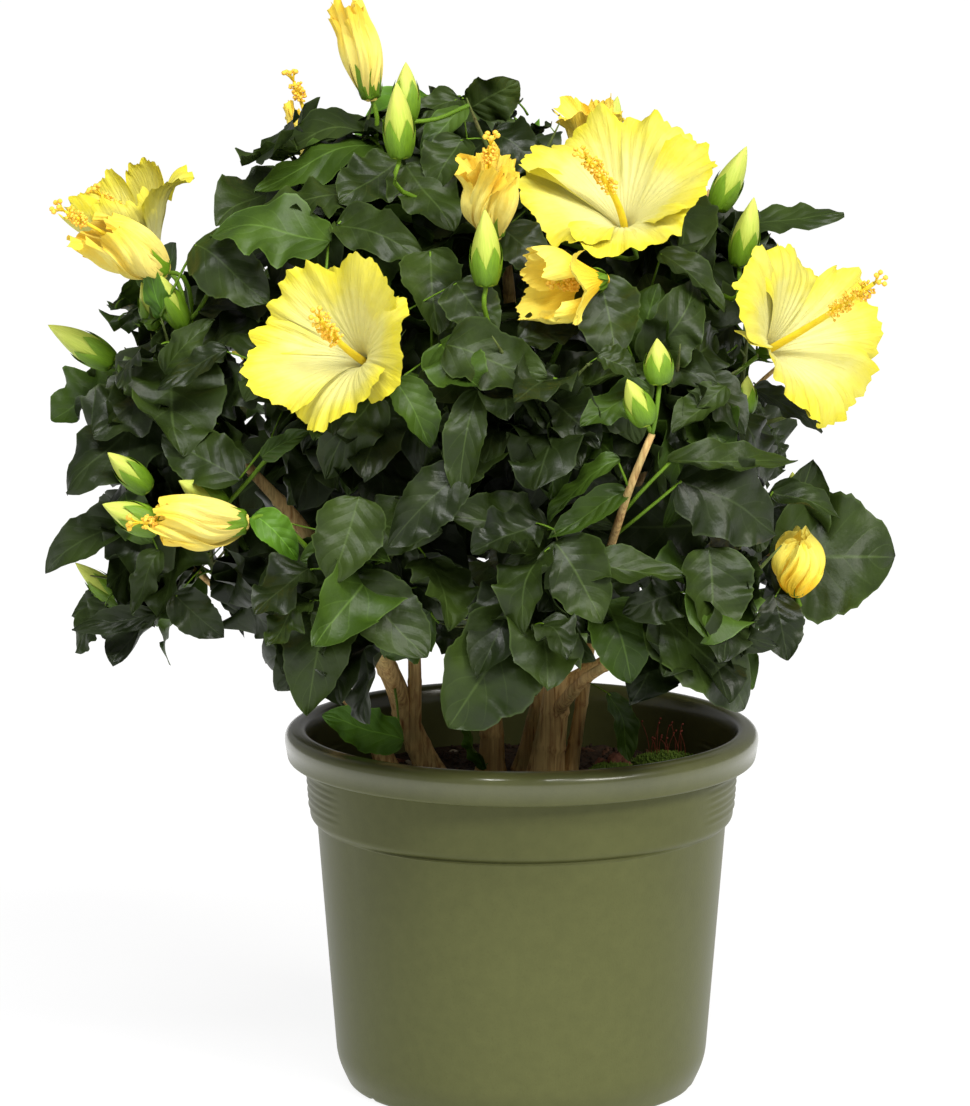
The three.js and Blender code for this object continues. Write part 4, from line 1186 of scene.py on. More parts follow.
# fine adjustments to the construction model, and the spent bloom, which drops sideways
move_bloom(0, (-105, -200, 549), (-0.46, -0.78, 0.42), 60, 1.0)
move_bloom(2, (163, -98, 540), (0.62, -0.64, 0.45), 66, 0.94)
move_bloom(3, (-252, -62, 598), (-0.5, -0.1, 0.86), 43, 1.5)
move_bloom(SPENT, (56, -204, 607), (-0.9, -0.42, -0.08), 32, 1.7)


def petal_nets(flower, seed, fall, folded, power, rows=30, cols=51):
    """Five petals, (5, rows, cols, 3). Along a petal the share s of the flower's size is u
    times an outline that falls off with v squared and is notched by sines of v. The point
    stands off the flower's line by the tube plus s, and along it by the depth times s to the
    power given. Its angle is the petal's own plus v times a half angle. Slow waves, frills
    and fine pleats are sines of v, each weighted by its own power of u."""
    rng = np.random.default_rng(seed)
    size, deep = flower.size, flower.size * flower.cup
    u, v = grid(np.linspace(0, 1, rows) ** 0.9, np.linspace(-1, 1, cols))
    edge = np.clip((u - 0.55) / 0.45, 0, 1)
    nets = []
    # a folded bloom has one petal turned to the eye, and the one on its right falls back
    spin = np.arctan2(-flower.two[1], -flower.one[1]) if folded else 0
    middles = spin + TURN * np.arange(5) / 5
    sideways = flower.one[0] * np.cos(middles) + flower.two[0] * np.sin(middles)
    for k in range(5):
        p = rng.uniform(0, TURN, 12)
        turned = 0 < folded and k == np.argmax(sideways)
        inwards = 0 if turned else folded
        outline = 1 - 0.1 * v**2 - 0.2 * v**6 + 0.035 * np.sin(4 * v + p[0])
        outline = outline + 0.018 * np.sin(8 * v + p[1])
        ragged = 0.016 * np.sin(23 * v + p[2]) + 0.014 * np.sin(38 * v + p[3])
        ragged = ragged + 0.01 * np.sin(59 * v + p[4])
        s = u * rng.uniform(0.88, 0.97) * (outline + ragged * u**7)
        swell = 0.11 * np.sin(3.1 * v + p[5] + 1.5 * u) + 0.05 * np.sin(6.8 * v + p[6] - 2 * u)
        swell = swell + rng.uniform(-0.06, 0.1) + rng.uniform(-0.14, 0.2) * v**2
        some = 0.55 + 0.45 * np.sin(2.6 * v + p[2])
        frill = 0.046 * np.sin(14 * v + p[7] + 2 * u) + 0.034 * np.sin(25 * v + p[8] - 3 * u)
        pleat = np.sin(31 * v + p[9] + 2 * np.sin(2 * v + p[10]))
        closed = inwards * edge**1.2 * (0.75 + 0.25 * np.sin(2 * v + p[5]))
        r = TUBE + size * (1 + 0.5 * folded) * s * (1 - closed)
        r = r + size * edge**1.6 * 0.012 * np.sin(14 * v + p[7] + 1.3)
        half_angle = 0.7 + 0.2 * np.sin(np.pi / 2 * np.clip(u * 1.3, 0, 1))
        angle = middles[k] + 0.04 * np.sin(p[11]) + v * half_angle
        h = deep * np.maximum(s, 0) ** power + size * v * 0.05 * u
        h = h + size * 0.011 * pleat * np.sin(np.pi * u)
        h = h + size * (u**2.0 * swell * (1 + 0.6 * folded) + edge**1.5 * (some * frill))
        h = h - size * (fall + 0.36 * turned) * edge**2 * (0.6 + 0.6 * np.sin(1.4 * v + p[10]))
        nets.append(flower.at(r, angle, h))
    return np.array(nets)


def pollen(flower, line, low, high, count, reach, rng):
    """Stalked anthers round a column's line between the shares low and high, and five styles
    with round pads at its end. Returns the threads, anthers, styles and pads."""
    t = np.linspace(0, 1, len(line))
    where = rng.uniform(low, high, count)
    angle = np.arange(count) * GOLDEN
    out = flower.one * np.cos(angle)[:, None] + flower.two * np.sin(angle)[:, None]
    out = unit(out + flower.way * rng.uniform(-0.1, 0.6, count)[:, None])
    root = np.stack([np.interp(where, t, line[:, k]) for k in range(3)], 1)
    tip = root + out * rng.uniform(0.6, 1.0, count)[:, None] * reach
    turn = unit(rng.normal(size=(count, 3)))
    anthers = np.stack([tip + turn * d for d in (-1.0, -0.5, 0.5, 1.0)], 1)
    k = np.arange(5)
    spread = flower.one * np.cos(TURN * k / 5)[:, None] + flower.two * np.sin(TURN * k / 5)[:, None]
    end, way = line[-1], unit(line[-1] - line[-3])
    styles = [end + spread * 0, end + spread * 1.6 + way * 4, end + spread * 4.4 + way * 7.5]
    styles = np.stack(styles, 1)
    pads = np.stack([styles[:, 2] + way * d for d in (-1.6, -0.8, 0.8, 1.6)], 1)
    return np.stack([root, tip], 1), anthers, styles, pads


def column_line(flower, start, end, lean, n=14):
    """The middle of the pollen column: straight along the flower, plus lean times t squared."""
    t = np.linspace(0, 1, n)[:, None]
    return flower.foot + flower.way * (start + (end - start) * t) + vec(*lean) * flower.size * t**2


# %% [markdown]
# ### The petals' finish
# The petals are cream at the throat and lemon yellow towards the crimped edge, with fine pleats
# that fan out. They are thin enough to glow a little where light falls on their back, which
# the finish gives as a faint glow of their own colour.


# %% Petal finishes
def petal_finish(name, throat, middle, rim, glow):
    petal = Finish(name, {"Specular IOR Level": 0.2, "Emission Strength": glow})
    along, over = petal.marks()
    cloud = petal.noise(42.0, 4.0)
    pleats = petal.noise(5.0, 4.0, petal.point(over * 9.0, along * 0.8), 0.4)
    colour = petal.mix(throat, middle, (along + cloud * 0.5).ramp(0.35, 0.9))
    colour = petal.mix(colour, rim, (along * 0.75 + cloud * 0.7 + pleats * 0.2).ramp(0.82, 1.18))
    colour = petal.mix(colour, middle, pleats.ramp(0.55, 0.75) * 0.4)
    normal = petal.bump(pleats + petal.noise(170.0, 3.0) * 0.5, 1.6, 0.6)
    return petal.show(colour=colour, roughness=cloud * 0.15 + 0.5, normal=normal, glow=colour)


OPEN_PETALS = petal_finish("petal_lemon", paint(217, 214, 152), paint(212, 206, 108),
                           paint(214, 203, 54), 0.05)
ROLLED_PETALS = petal_finish("petal_rolled", paint(236, 212, 110), paint(238, 224, 120),
                             paint(238, 206, 70), 0.1)
SPENT_PETALS = petal_finish("petal_spent", paint(246, 196, 34), paint(243, 218, 76),
                            paint(243, 226, 100), 0.12)


def plain_finish(name, one, two, scale, roughness, glow=0.0):
    plain = Finish(name, {"Emission Strength": glow, "Specular IOR Level": 0.3})
    cloud = plain.noise(scale, 3.0)
    colour = plain.mix(one, two, cloud.ramp(0.35, 0.65))
    normal = plain.bump(cloud, 0.4, 0.5)
    return plain.show(colour=colour, roughness=cloud * 0.1 + roughness, normal=normal, glow=colour)


# The column and the anthers glow faintly in their own colour: painted light, like the petals' glow.
COLUMN = plain_finish("column_yellow", paint(238, 212, 56), paint(236, 202, 44), 160.0, 0.5, 0.05)
ANTHER = plain_finish("anther_gold", paint(244, 208, 88), paint(238, 180, 48), 700.0, 0.7, 0.12)
petals, columns, anther_heap = Heap(), Heap(), Heap()


def add_pollen(flower, line, width, low, high, count, reach, seed):
    """Adds a column along the line and its pollen to the heaps."""
    t = np.linspace(0, 1, len(line))
    columns.add(tubes(line[None], width * (1 - 0.45 * t), 10))
    parts = pollen(flower, line, low, high, count, reach, np.random.default_rng(seed))
    threads, anthers, styles, pads = parts
    columns.add(tubes(threads, 0.35, 3))
    columns.add(tubes(styles, 0.55, 5))
    anther_heap.add(tubes(anthers, [0.5, 1.0, 1.0, 0.5], 6))
    anther_heap.add(tubes(pads, [0.9, 1.8, 1.8, 0.9], 8))


# %% Open blooms
folded_petals = Heap()
for number, (reach, lean, fall, folded, power) in HABITS.items():
    flower = flowers[number]
    heap = folded_petals if number == SPENT else petals
    heap.add(petal_nets(flower, 40 + number, fall, folded, power))
    deep = flower.size * flower.cup
    line = column_line(flower, deep * 0.1, deep + flower.size * reach, lean)
    add_pollen(flower, line, 2.8, 0.58, 0.97, count=110, reach=6.6, seed=60 + number)

# %% [markdown]
# ## Rolled blooms
# A hibiscus bloom lasts a day: before it opens and after it fades its petals are wound round
# each other like a furled umbrella. Each petal is again a net, but its angle now winds round
# the flower by almost a third of a turn, each edge over the next. The petals crease
# lengthwise, part at the top in frills, and in a faded bloom the column looks out of them.

# %% Rolled petals
# rolled blooms: how far the top opens, how deep the creases are, how far the column looks
# out (0 hides it) as shares of the size, the way the tip bends, and a factor of the girth
ROLLS = {
    6: (1.0, 0.1, 0.0, (-0.2, 0, 0.2), 1.0), 7: (0.34, 0.1, 0.0, (-0.3, 0, 0.05), 0.7),
    8: (0.3, 0.11, 0.75, (-0.1, 0, -0.1), 1.0), 9: (0.8, 0.19, 0.55, (0.3, -0.1, 0.0), 1.0),
    11: (0.15, 0.1, 0.45, (0, 0, 0.05), 1.0), 12: (-0.2, 0.16, 0.0, (0, 0, 0), 1.2),
    13: (0.1, 0.12, 0.9, (-0.5, 0, 0), 1.0), 14: (0.3, 0.12, 0.7, (0, 0, 0), 1.0),
    15: (0.3, 0.12, 0.7, (0, 0, 0), 1.0),
}
FADED = 12  # the number of the bloom that is over and orange


def rolled_nets(flower, seed, opening, crease, bend, girth, rows=30, cols=31):
    """Five wound petals, (5, rows, cols, 3). Across a petal the angle winds by 2 radians and
    the radius grows, so that the outer edge lies over the next petal. The radius follows a
    club-shaped profile of u, creased by sines of v; over the last quarter it opens and frills.
    The whole bends by `bend` times u cubed."""
    rng = np.random.default_rng(seed)
    size = flower.size
    u, v = grid(np.linspace(0, 1, rows), np.linspace(-1, 1, cols))
    top = np.clip((u - 0.76) / 0.24, 0, 1)
    nets = []
    for k in range(5):
        p = rng.uniform(0, TURN, 9)
        length = 3.0 * rng.uniform(0.8, 1.05) * (1 - 0.08 * v**2 + 0.05 * np.sin(5 * v + p[0]))
        length = length + top * (0.06 * np.sin(13 * v + p[6]) + 0.04 * np.sin(23 * v + p[7]))
        h = size * u * length
        club = 0.26 + 0.56 * np.sin(np.pi * np.clip(u, 0, 1) ** 0.9 * 0.8) - 0.12 * u**5
        fold = np.sin(6 * v + p[1] + 1.4 * u) + 0.7 * np.sin(11 * v + p[2] - 2 * u)
        fold = fold + 0.4 * np.sin(19 * v + p[3])
        crease_share = crease * fold * np.sin(np.pi * np.clip(u * 1.1, 0, 1) * 0.6)
        r = size * (club * (0.84 + 0.16 * v) + crease_share)
        flare = opening * (0.6 + 0.4 * np.sin(1.5 * v + p[4])) + 0.08 * np.sin(14 * v + p[5])
        r = r * girth + size * top**1.3 * flare
        angle = TURN * k / 5 + v * 1.0 + 0.9 * u + 0.15 * np.sin(5 * u + p[8])
        nets.append(flower.at(np.maximum(r, 0.6), angle, h) + vec(*bend) * size * (u**3)[..., None])
    return np.array(nets)


rolled, spent = Heap(), Heap()
for number, (opening, crease, reach, bend, girth) in ROLLS.items():
    flower = flowers[number]
    heap = spent if number == FADED else rolled
    heap.add(rolled_nets(flower, 80 + number, opening, crease, bend, girth))
    if reach:
        line = column_line(flower, flower.size * 0.5, flower.size * (2.9 + reach), bend)
        low = 1 - 0.5 * reach / (2.4 + reach) - 0.12
        add_pollen(flower, line, 1.9, low, 0.96, count=60, reach=5.0, seed=100 + number)

# %% [markdown]
# ## Buds and calyces
# Every bloom stands in a calyx, a green cup cut into five points that hugs the petals, with a
# ruff of narrow bracts under it. In a bud the calyx points close over a tight yellow-green
# spindle of petals.


# %% Calyx, bracts and bud nets
def calyx_net(flower, height, petal_radius, rows=16, cols=61):
    """A cup with five points, (1, rows, cols, 3): its height at angle a is the full height
    times 0.48 + 0.52 times how near a is to a point, its radius the petals' own at that
    height plus a millimetre, closed to a stalk at the foot."""
    u, a = grid(np.linspace(0, 1, rows), np.linspace(0, TURN, cols))
    point = 1 - np.abs(np.mod(a * 5 / TURN, 1) * 2 - 1)
    h = height * u * (0.48 + 0.52 * point**0.85)
    keel = 0.5 * np.cos(a * 5 + np.pi) - 0.3 * np.cos(a * 10)
    r = petal_radius(h) + 1.0 + keel * u
    return flower.at(r * np.clip(u * 8, 0, 1) ** 0.5, a, h)[None]


def bract_nets(flower, length, count=7):
    """Narrow pointed leaves round the foot of the calyx, (count, 6, 3, 3)."""
    u, v = grid(np.linspace(0, 1, 6), np.linspace(-1, 1, 3))
    k = np.arange(count)[:, None, None]
    width = length * 0.13 * np.sin(np.pi * np.clip(u * 0.9 + 0.1, 0, 1)) ** 0.7
    r = 2.0 + length * (0.75 * u - 0.2 * u * u) + 0 * k
    angle = TURN * (k + 0.4) / count + v * width / np.maximum(r, 1)
    h = length * (0.05 + 0.75 * u * u) - np.abs(v) * 0.3
    return flower.at(r, angle, h + 0 * k)


def bud_radius(width, length):
    """The spindle's radius at a height h: a sine of the share of the length."""
    return lambda h: width * np.sin(np.pi * np.clip(0.1 + 0.9 * h / length, 0, 1) ** 0.8) ** 0.85


def bud_net(flower, width, length, rows=26, cols=41):
    """The furled petals of a bud, (1, rows, cols, 3): a spindle whose radius is a sine of u,
    grooved by three ridges that wind by about a radian."""
    u, a = grid(np.linspace(0, 1, rows), np.linspace(0, TURN, cols))
    r = bud_radius(width, length)(length * u)
    r = r * (1 + 0.09 * np.sin(3 * a + 3.5 * u) * u) * (u > 0) * (u < 1)
    return flower.at(r, a, length * u)[None]


def green_finish(name, low, high):
    green = Finish(name, {"Specular IOR Level": 0.35})
    along, over = green.marks()
    cloud = green.noise(120.0, 3.0)
    ribs = green.noise(6.0, 3.0, green.point(over * 22.0, along * 0.7))
    colour = green.mix(low, high, (along * 0.7 + ribs * 1.2).ramp(0.5, 1.35))
    normal = green.bump(ribs, 0.8, 0.5)
    return green.show(colour=colour, roughness=cloud * 0.15 + 0.4, normal=normal)


CALYX = green_finish("calyx_green", paint(76, 112, 12), paint(114, 152, 28))
BUD_TIP = green_finish("bud_lime", paint(146, 176, 42), paint(212, 220, 100))

# %% All calyces, bracts and buds
calyces, bracts, bud_tips, flower_stalks = Heap(), Heap(), Heap(), Heap()
for number, flower in enumerate(flowers):
    size = flower.size
    if flower.kind == "bud":
        shape = bud_radius(size * 0.66, size * 3.6)
        calyces.add(calyx_net(flower, size * 2.0, shape))
        bud_tips.add(bud_net(flower, size * 0.66, size * 3.6))
    elif flower.kind == "open":
        deep = size * flower.cup
        power = HABITS[number][-1]
        shape = lambda h: TUBE + size * np.clip(h / deep, 0, 1) ** (1 / power)
        calyces.add(calyx_net(flower, 24, shape))
    else:
        slim = 0.72 if ROLLS[number][-1] < 1 else 1.0
        shape = lambda h: slim * size * (0.3 + 0.55 * np.clip(h / (size * 3), 0, 1) ** 0.8)
        calyces.add(calyx_net(flower, size * 1.15, shape))
    bracts.add(bract_nets(flower, 15.0))
for foot, tip, radius in OWN_BUDS:
    bud = Flower("bud", foot, np.subtract(tip, foot), radius, 1)
    length = span(np.subtract(tip, foot))
    calyces.add(calyx_net(bud, length * 0.72, bud_radius(radius, length)))
    bud_tips.add(bud_net(bud, radius, length))
    bracts.add(bract_nets(bud, 9.0))
    root = WOOD[np.argmin(span(WOOD - bud.foot))]
    stem = np.array([root, (root + bud.foot) / 2 - bud.way * 3, bud.foot + bud.way])
    flower_stalks.add(tubes(curve(stem, np.linspace(0, 1, 7))[None], 1.6, 7))

petals.piece("open_petals", [OPEN_PETALS], "foliage", weld=0)
columns.piece("pollen_columns", [COLUMN], "foliage")
anther_heap.piece("anthers", [ANTHER], "foliage")
rolled.piece("rolled_petals", [ROLLED_PETALS], "foliage", weld=0)
spent.piece("spent_petals", [SPENT_PETALS], "foliage", weld=0)
folded_petals.piece("folded_petals", [SPENT_PETALS], "foliage", weld=0)
calyces.piece("calyces", [CALYX], "foliage")
bracts.piece("bracts", [CALYX], "foliage", weld=0)
bud_tips.piece("bud_tips", [BUD_TIP], "foliage")
t = np.linspace(0, 1, 9)
stalk_lines = np.array([curve(stalk, t) for mass in masses for stalk in mass.stalks])
flower_stalks.add(tubes(stalk_lines, 1.95 - 0.4 * t, 7))
flower_stalks.add(tubes(stalks, thick, 4))
flower_stalks.piece("leaf_and_flower_stalks", [CALYX], "foliage")

# %% [markdown]
# ## The planter
# The pot is moulded in satin olive plastic: a tapering wall, a collar with a rolled rim, fine
# grip lines at the two sides of the collar and shallow drain notches round the foot. Turning
# a profile gives all of it but the grips, the notches and a slight swell of the wall, which
# change the radius or the height where the angle says so. The profile's corners are rounded,
# as a mould needs them.

# %% Planter sizes, from the construction model
pot_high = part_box("pot")[1] / MM
RIM_RADIUS, POT_HEIGHT = pot_high.x, pot_high.z
RIM_FOOT = POT_HEIGHT - 23.5
COLLAR_RADIUS = RIM_RADIUS - 17.5
COLLAR_FOOT = 199.0
WAIST_RADIUS = RIM_RADIUS - 24.5
FOOT_RADIUS = RIM_RADIUS - 38.5
BASE_RADIUS = RIM_RADIUS - 48
WALL = 3.0


def rounded(corners, steps=8):
    """A profile with round corners. Each corner is (r, z, radius of its round): the arc is
    drawn as a quadratic curve from a point that far before the corner to one as far after."""
    corners = np.array(corners, float)
    made = [corners[0, :2]]
    for before, here, after in zip(corners[:-2], corners[1:-1], corners[2:]):
        start = here[:2] + unit(before[:2] - here[:2]) * here[2]
        end = here[:2] + unit(after[:2] - here[:2]) * here[2]
        s = np.linspace(0, 1, steps)[:, None]
        made.extend((1 - s) ** 2 * start + 2 * s * (1 - s) * here[:2] + s**2 * end)
    made.append(corners[-1, :2])
    return np.array(made)


def finely(profile, step):
    """The profile with no stretch longer than step."""
    points = [profile[0]]
    for a, b in zip(profile[:-1], profile[1:]):
        n = max(int(np.ceil(span(b - a) / step)), 1)
        points.extend(a + (b - a) * (np.arange(1, n + 1) / n)[:, None])
    return np.array(points)


# %% The pot's surface
POT_OUTSIDE = [
    (0, 3, 0), (BASE_RADIUS - 16, 3, 2), (BASE_RADIUS - 12, 0, 2), (BASE_RADIUS + 1, 0, 4),
    (FOOT_RADIUS + 0.3, 19, 9), (WAIST_RADIUS, COLLAR_FOOT - 8, 0.6),
    (COLLAR_RADIUS - 2.2, COLLAR_FOOT - 4, 3), (COLLAR_RADIUS + 1, RIM_FOOT, 1),
    (RIM_RADIUS - 4, RIM_FOOT, 3), (RIM_RADIUS, POT_HEIGHT - 1, 11),
    (RIM_RADIUS - 15.5, POT_HEIGHT + 0.5, 4.4), (RIM_RADIUS - 19, POT_HEIGHT - 9, 4),
    (COLLAR_RADIUS - WALL - 1, COLLAR_FOOT, 4), (WAIST_RADIUS - WALL, COLLAR_FOOT - 10, 4),
    (WAIST_RADIUS - WALL - 2, COLLAR_FOOT - 40, 0),
]


def pot_net(sides=210):
    """The profile turned round, (1, rows, sides + 1, 3). At the front and back the wall swells
    by up to 4 mm towards the collar. Grip lines add a cosine of the height in a window of 33
    degrees either side of the pot's left and right; drain notches lift the foot ring 3 mm in
    eight narrow windows of the angle."""
    profile = finely(rounded(POT_OUTSIDE), 1.5)
    r, z = profile[:, :1], profile[:, 1:]
    a = np.linspace(0, TURN, sides + 1)[None]
    from_side = np.abs(np.arccos(np.abs(np.cos(a))))
    window = np.clip((np.radians(33) - from_side) / 0.1, 0, 1)
    outside = (r > COLLAR_RADIUS - 3.5) & (z > COLLAR_FOOT + 4) & (z < RIM_FOOT - 3)
    grips = outside * window * np.maximum(np.cos((z - COLLAR_FOOT) * TURN / 5.2), -0.2) * 0.9
    inner = np.arange(len(r))[:, None] > np.argmax(z)
    swell = 4 * np.clip((z - 70) / (COLLAR_FOOT - 78), 0, 1) * (z < COLLAR_FOOT - 7.5) * ~inner
    swell = swell * np.clip((from_side - 0.6) / 0.5, 0, 1)
    notch = np.abs(np.mod(a * 8 / TURN - 0.66 + 0.5, 1) - 0.5) < 0.045
    lifted = notch * (z < 3.2) * (r > BASE_RADIUS - 13)
    height = z + lifted * (3.2 - z) + 0 * a
    radius = r + grips + swell
    return np.stack([radius * np.cos(a), radius * np.sin(a), height], -1)[None]


pot = Heap()
pot.add(pot_net())

# %% The plastic
plastic = Finish("olive_plastic", {"Specular IOR Level": 0.16, "Coat Roughness": 0.2,
                                   "Coat IOR": 1.55})
mottle = plastic.noise(110.0, 4.0)
speckle = plastic.noise(700.0, 3.0)
body = plastic.mix(paint(87, 90, 52), paint(91, 94, 55), mottle.ramp(0.3, 0.7))
body = plastic.mix(body, paint(76, 77, 42), speckle.ramp(0.56, 0.75) * 0.3)
surface = plastic.bump(speckle, 0.2, 0.4)
height = plastic.add("ShaderNodeSeparateXYZ", {}, {0: plastic.place()}, out=2)
gloss = height.ramp(RIM_FOOT * MM, (POT_HEIGHT - 12) * MM)  # hands polish the rim
PLASTIC = plastic.show(colour=body, roughness=mottle * 0.06 + 0.34, normal=surface, coat=gloss)
pot.piece("planter", [PLASTIC], "pot_plastic", ["pot"])

# %% [markdown]
# ## Soil, moss and litter
# The compost is dark and crumbly, with bits of bark, a moss cushion or two whose red seed
# stalks stand up like threads, and the litter that collects in a pot. The surface is a polar
# net raised by noise; the crumbs are small lumps strewn over it by seeded dice.


# %% Soil surface and crumbs
def bumps(x, y, seed, waves, reach):
    """A rolling height made of `waves` sines in random directions, their length between a
    third of reach and reach, all of the same weight."""
    rng = np.random.default_rng(seed)
    height = 0 * x
    for _ in range(waves):
        way = rng.uniform(0, TURN)
        length = rng.uniform(0.33, 1) * reach
        shift = rng.uniform(0, TURN)
        height = height + np.sin((x * np.cos(way) + y * np.sin(way)) * TURN / length + shift)
    return height / waves


SOIL_RADIUS = COLLAR_RADIUS - WALL + 1.0
soil_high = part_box("soil")[1] / MM


def soil_height(x, y):
    """A crumbly top that dips towards the wall: the construction height less the square of
    the share of the radius, plus fine and coarse bumps."""
    far = np.hypot(x, y) / SOIL_RADIUS
    rough = bumps(x, y, 3, 14, 9) * 3.0 + bumps(x, y, 4, 10, 42) * 3.2
    return soil_high.z - 1.6 - 4.5 * far**2 + rough


r, a = grid(np.linspace(0, 1, 70) ** 0.8 * SOIL_RADIUS, np.linspace(0, TURN, 181))
x, y = r * np.cos(a), r * np.sin(a)
soil = Heap()
soil.add(np.stack([x, y, soil_height(x, y)], -1)[None])
rng = np.random.default_rng(21)


def strewn(count, rng, radius):
    """Places strewn evenly over a disc of soil, (count, 3)."""
    r, a = radius * np.sqrt(rng.uniform(0, 1, count)), rng.uniform(0, TURN, count)
    x, y = r * np.cos(a), r * np.sin(a)
    return np.stack([x, y, soil_height(x, y)], -1)


def lumps(places, sizes, stretch, rng, rows=5, cols=7):
    """Small rough lumps, (count, rows, cols, 3): spheres stretched along their own axis and
    roughened by a random share of their radius at each point."""
    n = len(places)
    u, a = grid(np.linspace(0, np.pi, rows), np.linspace(0, TURN, cols))
    rough = rng.uniform(0.72, 1.25, (n, rows, cols))
    rough[:, :, -1] = rough[:, :, 0]
    rough[:, 0], rough[:, -1] = rough[:, :1, 0], rough[:, -1:, 0]
    way = unit(rng.normal(size=(n, 3)))[:, None, None]
    one, two = across(way)
    r = (np.sin(u) * rough)[..., None] * sizes[:, None, None, None]
    h = (np.cos(u) * rough)[..., None] * (sizes * stretch)[:, None, None, None]
    out = one * np.cos(a)[..., None] + two * np.sin(a)[..., None]
    return places[:, None, None] + out * r + way * h


crumbs = rng.uniform(0.8, 2.6, 1500)
soil.add(lumps(strewn(1500, rng, SOIL_RADIUS - 5), crumbs, rng.uniform(0.8, 1.6, 1500), rng))
chips = Heap()
chip_size = rng.uniform(1.2, 3.2, 110)
chips.add(lumps(strewn(110, rng, SOIL_RADIUS - 6), chip_size, rng.uniform(1.5, 4.0, 110), rng),
          tone=rng.choice(3, 110, p=[0.6, 0.3, 0.1]))
SOIL = plain_finish("potting_soil", paint(44, 33, 25), paint(70, 52, 38), 300.0, 0.85)
soil.piece("potting_soil", [SOIL], "potting_soil", ["soil"])
CHIPS = [plain_finish("chip_brown", paint(104, 72, 52), paint(74, 50, 36), 400.0, 0.8),
         plain_finish("chip_red", paint(130, 84, 66), paint(98, 60, 46), 400.0, 0.8),
         plain_finish("chip_pale", paint(190, 180, 160), paint(160, 148, 128), 400.0, 0.8)]
litter = vec((66, 36, 3), (74, 42, 3), (58, 44, 2)) + vec(0, 0, soil_high.z)
chips.add(lumps(litter, vec(6.0, 4.5, 4.0), vec(1.5, 1.2, 1.3), rng, 9, 13), tone=1)
chips.piece("bark_chips", CHIPS, "potting_soil")


# %% Moss
def moss_cushion(node, seed):
    """A rough dome over the construction cushion's box, whose height is one less the square
    of the share of the radius, to the power 0.6, and the tufts that stand on it. Returns the
    dome, the tufts, the middle of the box and its top."""
    low, high = (np.array(corner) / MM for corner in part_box(node))
    middle, half = (low + high) / 2, (high - low) / 2
    u, a = grid(np.linspace(0, 1, 14), np.linspace(0, TURN, 41))
    x = middle[0] + half[0] * u * np.cos(a)
    y = middle[1] + half[1] * u * np.sin(a)
    dome = lambda r: soil_high.z - 1 + (high[2] - soil_high.z) * (1 - r**2) ** 0.6
    z = dome(u) + bumps(x, y, seed, 9, 6) * 0.8
    tufts = np.random.default_rng(seed)
    n = 700
    r, angle = np.sqrt(tufts.uniform(0, 1, n)), tufts.uniform(0, TURN, n)
    foot = np.stack([middle[0] + half[0] * r * np.cos(angle),
                     middle[1] + half[1] * r * np.sin(angle), dome(r)], 1)
    way = unit(tufts.normal(size=(n, 3)) * 0.5 + vec(0, 0, 1))
    paths = np.stack([foot, foot + way * tufts.uniform(1.2, 3.0, n)[:, None]], 1)
    blades = tubes(paths, [0.55, 0.12], 3)
    return np.stack([x, y, z], -1)[None], blades, middle, high[2]


moss, threads_heap = Heap(), Heap()
for node, seed, count in (("moss_right", 31, 15), ("moss_middle", 32, 0)):
    dome, blades, middle, top = moss_cushion(node, seed)
    moss.add(dome)
    moss.add(blades, tone=1)
    if count:
        rng = np.random.default_rng(33)
        foot = middle + rng.uniform(-1, 1, (count, 3)) * vec(15, 6, 0)
        foot[:, 2] = top - 2
        tall = rng.uniform(10, 27, count)[:, None]
        sway = rng.uniform(-6, 6, (count, 2))
        rise = np.stack([sway[:, 0], sway[:, 1], tall[:, 0]], 1)
        t = np.linspace(0, 1, 6)[None, :, None]
        stalks_up = foot[:, None] + rise[:, None] * t * vec(1, 1, 0) * t
        stalks_up = stalks_up + rise[:, None] * vec(0, 0, 1) * t
        threads_heap.add(tubes(stalks_up, 0.22, 4))
        tip = stalks_up[:, -1]
        pods = np.stack([tip + vec(0.4, 0, 0.5) * k for k in range(4)], 1)
        threads_heap.add(tubes(pods, [0.3, 0.75, 0.7, 0.25], 6))
MOSS = [plain_finish("moss_green", paint(62, 84, 26), paint(88, 110, 38), 500.0, 0.9),
        plain_finish("moss_tips", paint(82, 108, 32), paint(112, 138, 52), 500.0, 0.85)]
moss.piece("moss_cushions", MOSS, "moss", ["moss_right", "moss_middle"])
THREAD = plain_finish("moss_stalks", paint(104, 36, 26), paint(132, 62, 42), 600.0, 0.6)
threads_heap.piece("moss_seed_stalks", [THREAD], "moss")

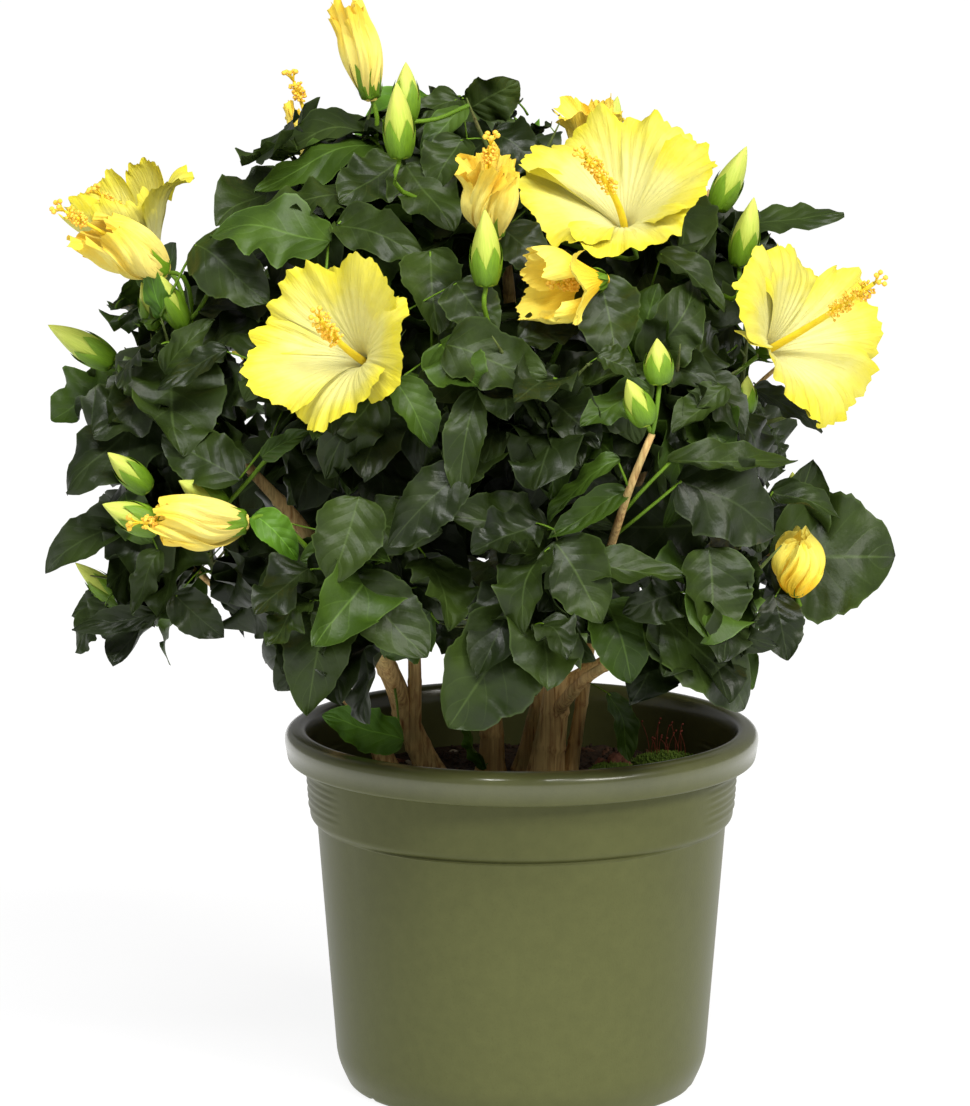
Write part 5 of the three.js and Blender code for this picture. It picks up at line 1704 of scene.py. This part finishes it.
# %% [markdown]
# ## Floor, light and camera
# A studio for plants is a pale floor that glows a little, a wide sun from the right, and a
# long soft box above and in front, which the rim and the leaves mirror. The camera stands
# 4.4 m away with a long lens, above the crown, and looks down on it by ten degrees.

# %% Floor
edge = np.linspace(-40, 40, 9)  # metres
x, y = grid(edge, edge)
corners = np.stack([y, x, np.zeros_like(x)], -1).reshape(-1, 3)
mesh = bpy.data.meshes.new("studio_floor")
mesh.from_pydata(corners.tolist(), [], net_faces(1, 9, 9).tolist())
mesh.update()
paper = Finish("floor_paper", {"Roughness": 0.9, "Specular IOR Level": 0.1,
                               "Emission Color": (1, 1, 1, 1), "Emission Strength": 0.885})
tint = paper.mix(paint(126, 126, 127), paint(122, 122, 123), paper.noise(0.6))
mesh.materials.append(paper.show(colour=tint))
sheet = bpy.data.objects.new("studio_floor", mesh)
bpy.context.scene.collection.objects.link(sheet)


# %% Lights
def aimed(name, kind, place, aim, strength, **settings):
    """A lamp at place, turned to face aim."""
    light = bpy.data.lights.new(name, kind)
    light.energy = strength
    for key, value in settings.items():
        setattr(light, key, value)
    lamp = bpy.data.objects.new(name, light)
    lamp.location = place
    lamp.rotation_euler = Vector(vec(*aim) - vec(*place)).to_track_quat("-Z", "Y").to_euler()
    bpy.context.scene.collection.objects.link(lamp)


aimed("key_sun", "SUN", (2.0, -1.9, 2.5), (0, 0, 0.4), 2.15, angle=math.radians(22),
      color=(1, 0.97, 0.91))
aimed("soft_box", "AREA", (-0.15, -1.8, 2.5), (0, 0, 0.4), 68, shape="RECTANGLE",
      size=1.8, size_y=0.5)
world = bpy.data.worlds.new("studio")
world.use_nodes = True
sky = world.node_tree.nodes["Background"].inputs
sky["Color"].default_value = (1, 1, 1, 1)
sky["Strength"].default_value = 0.23
bpy.context.scene.world = world
bpy.context.scene.view_settings.view_transform = "Standard"

# %% Camera
camera = bpy.data.objects.new("camera", bpy.data.cameras.new("camera"))
camera.location = (-0.026, -4.4, 1.18)
camera.rotation_euler = (math.radians(90 - 10.26), 0, 0)
camera.data.lens = 205.75
camera.data.clip_end = 200
bpy.context.scene.collection.objects.link(camera)
bpy.context.scene.camera = camera
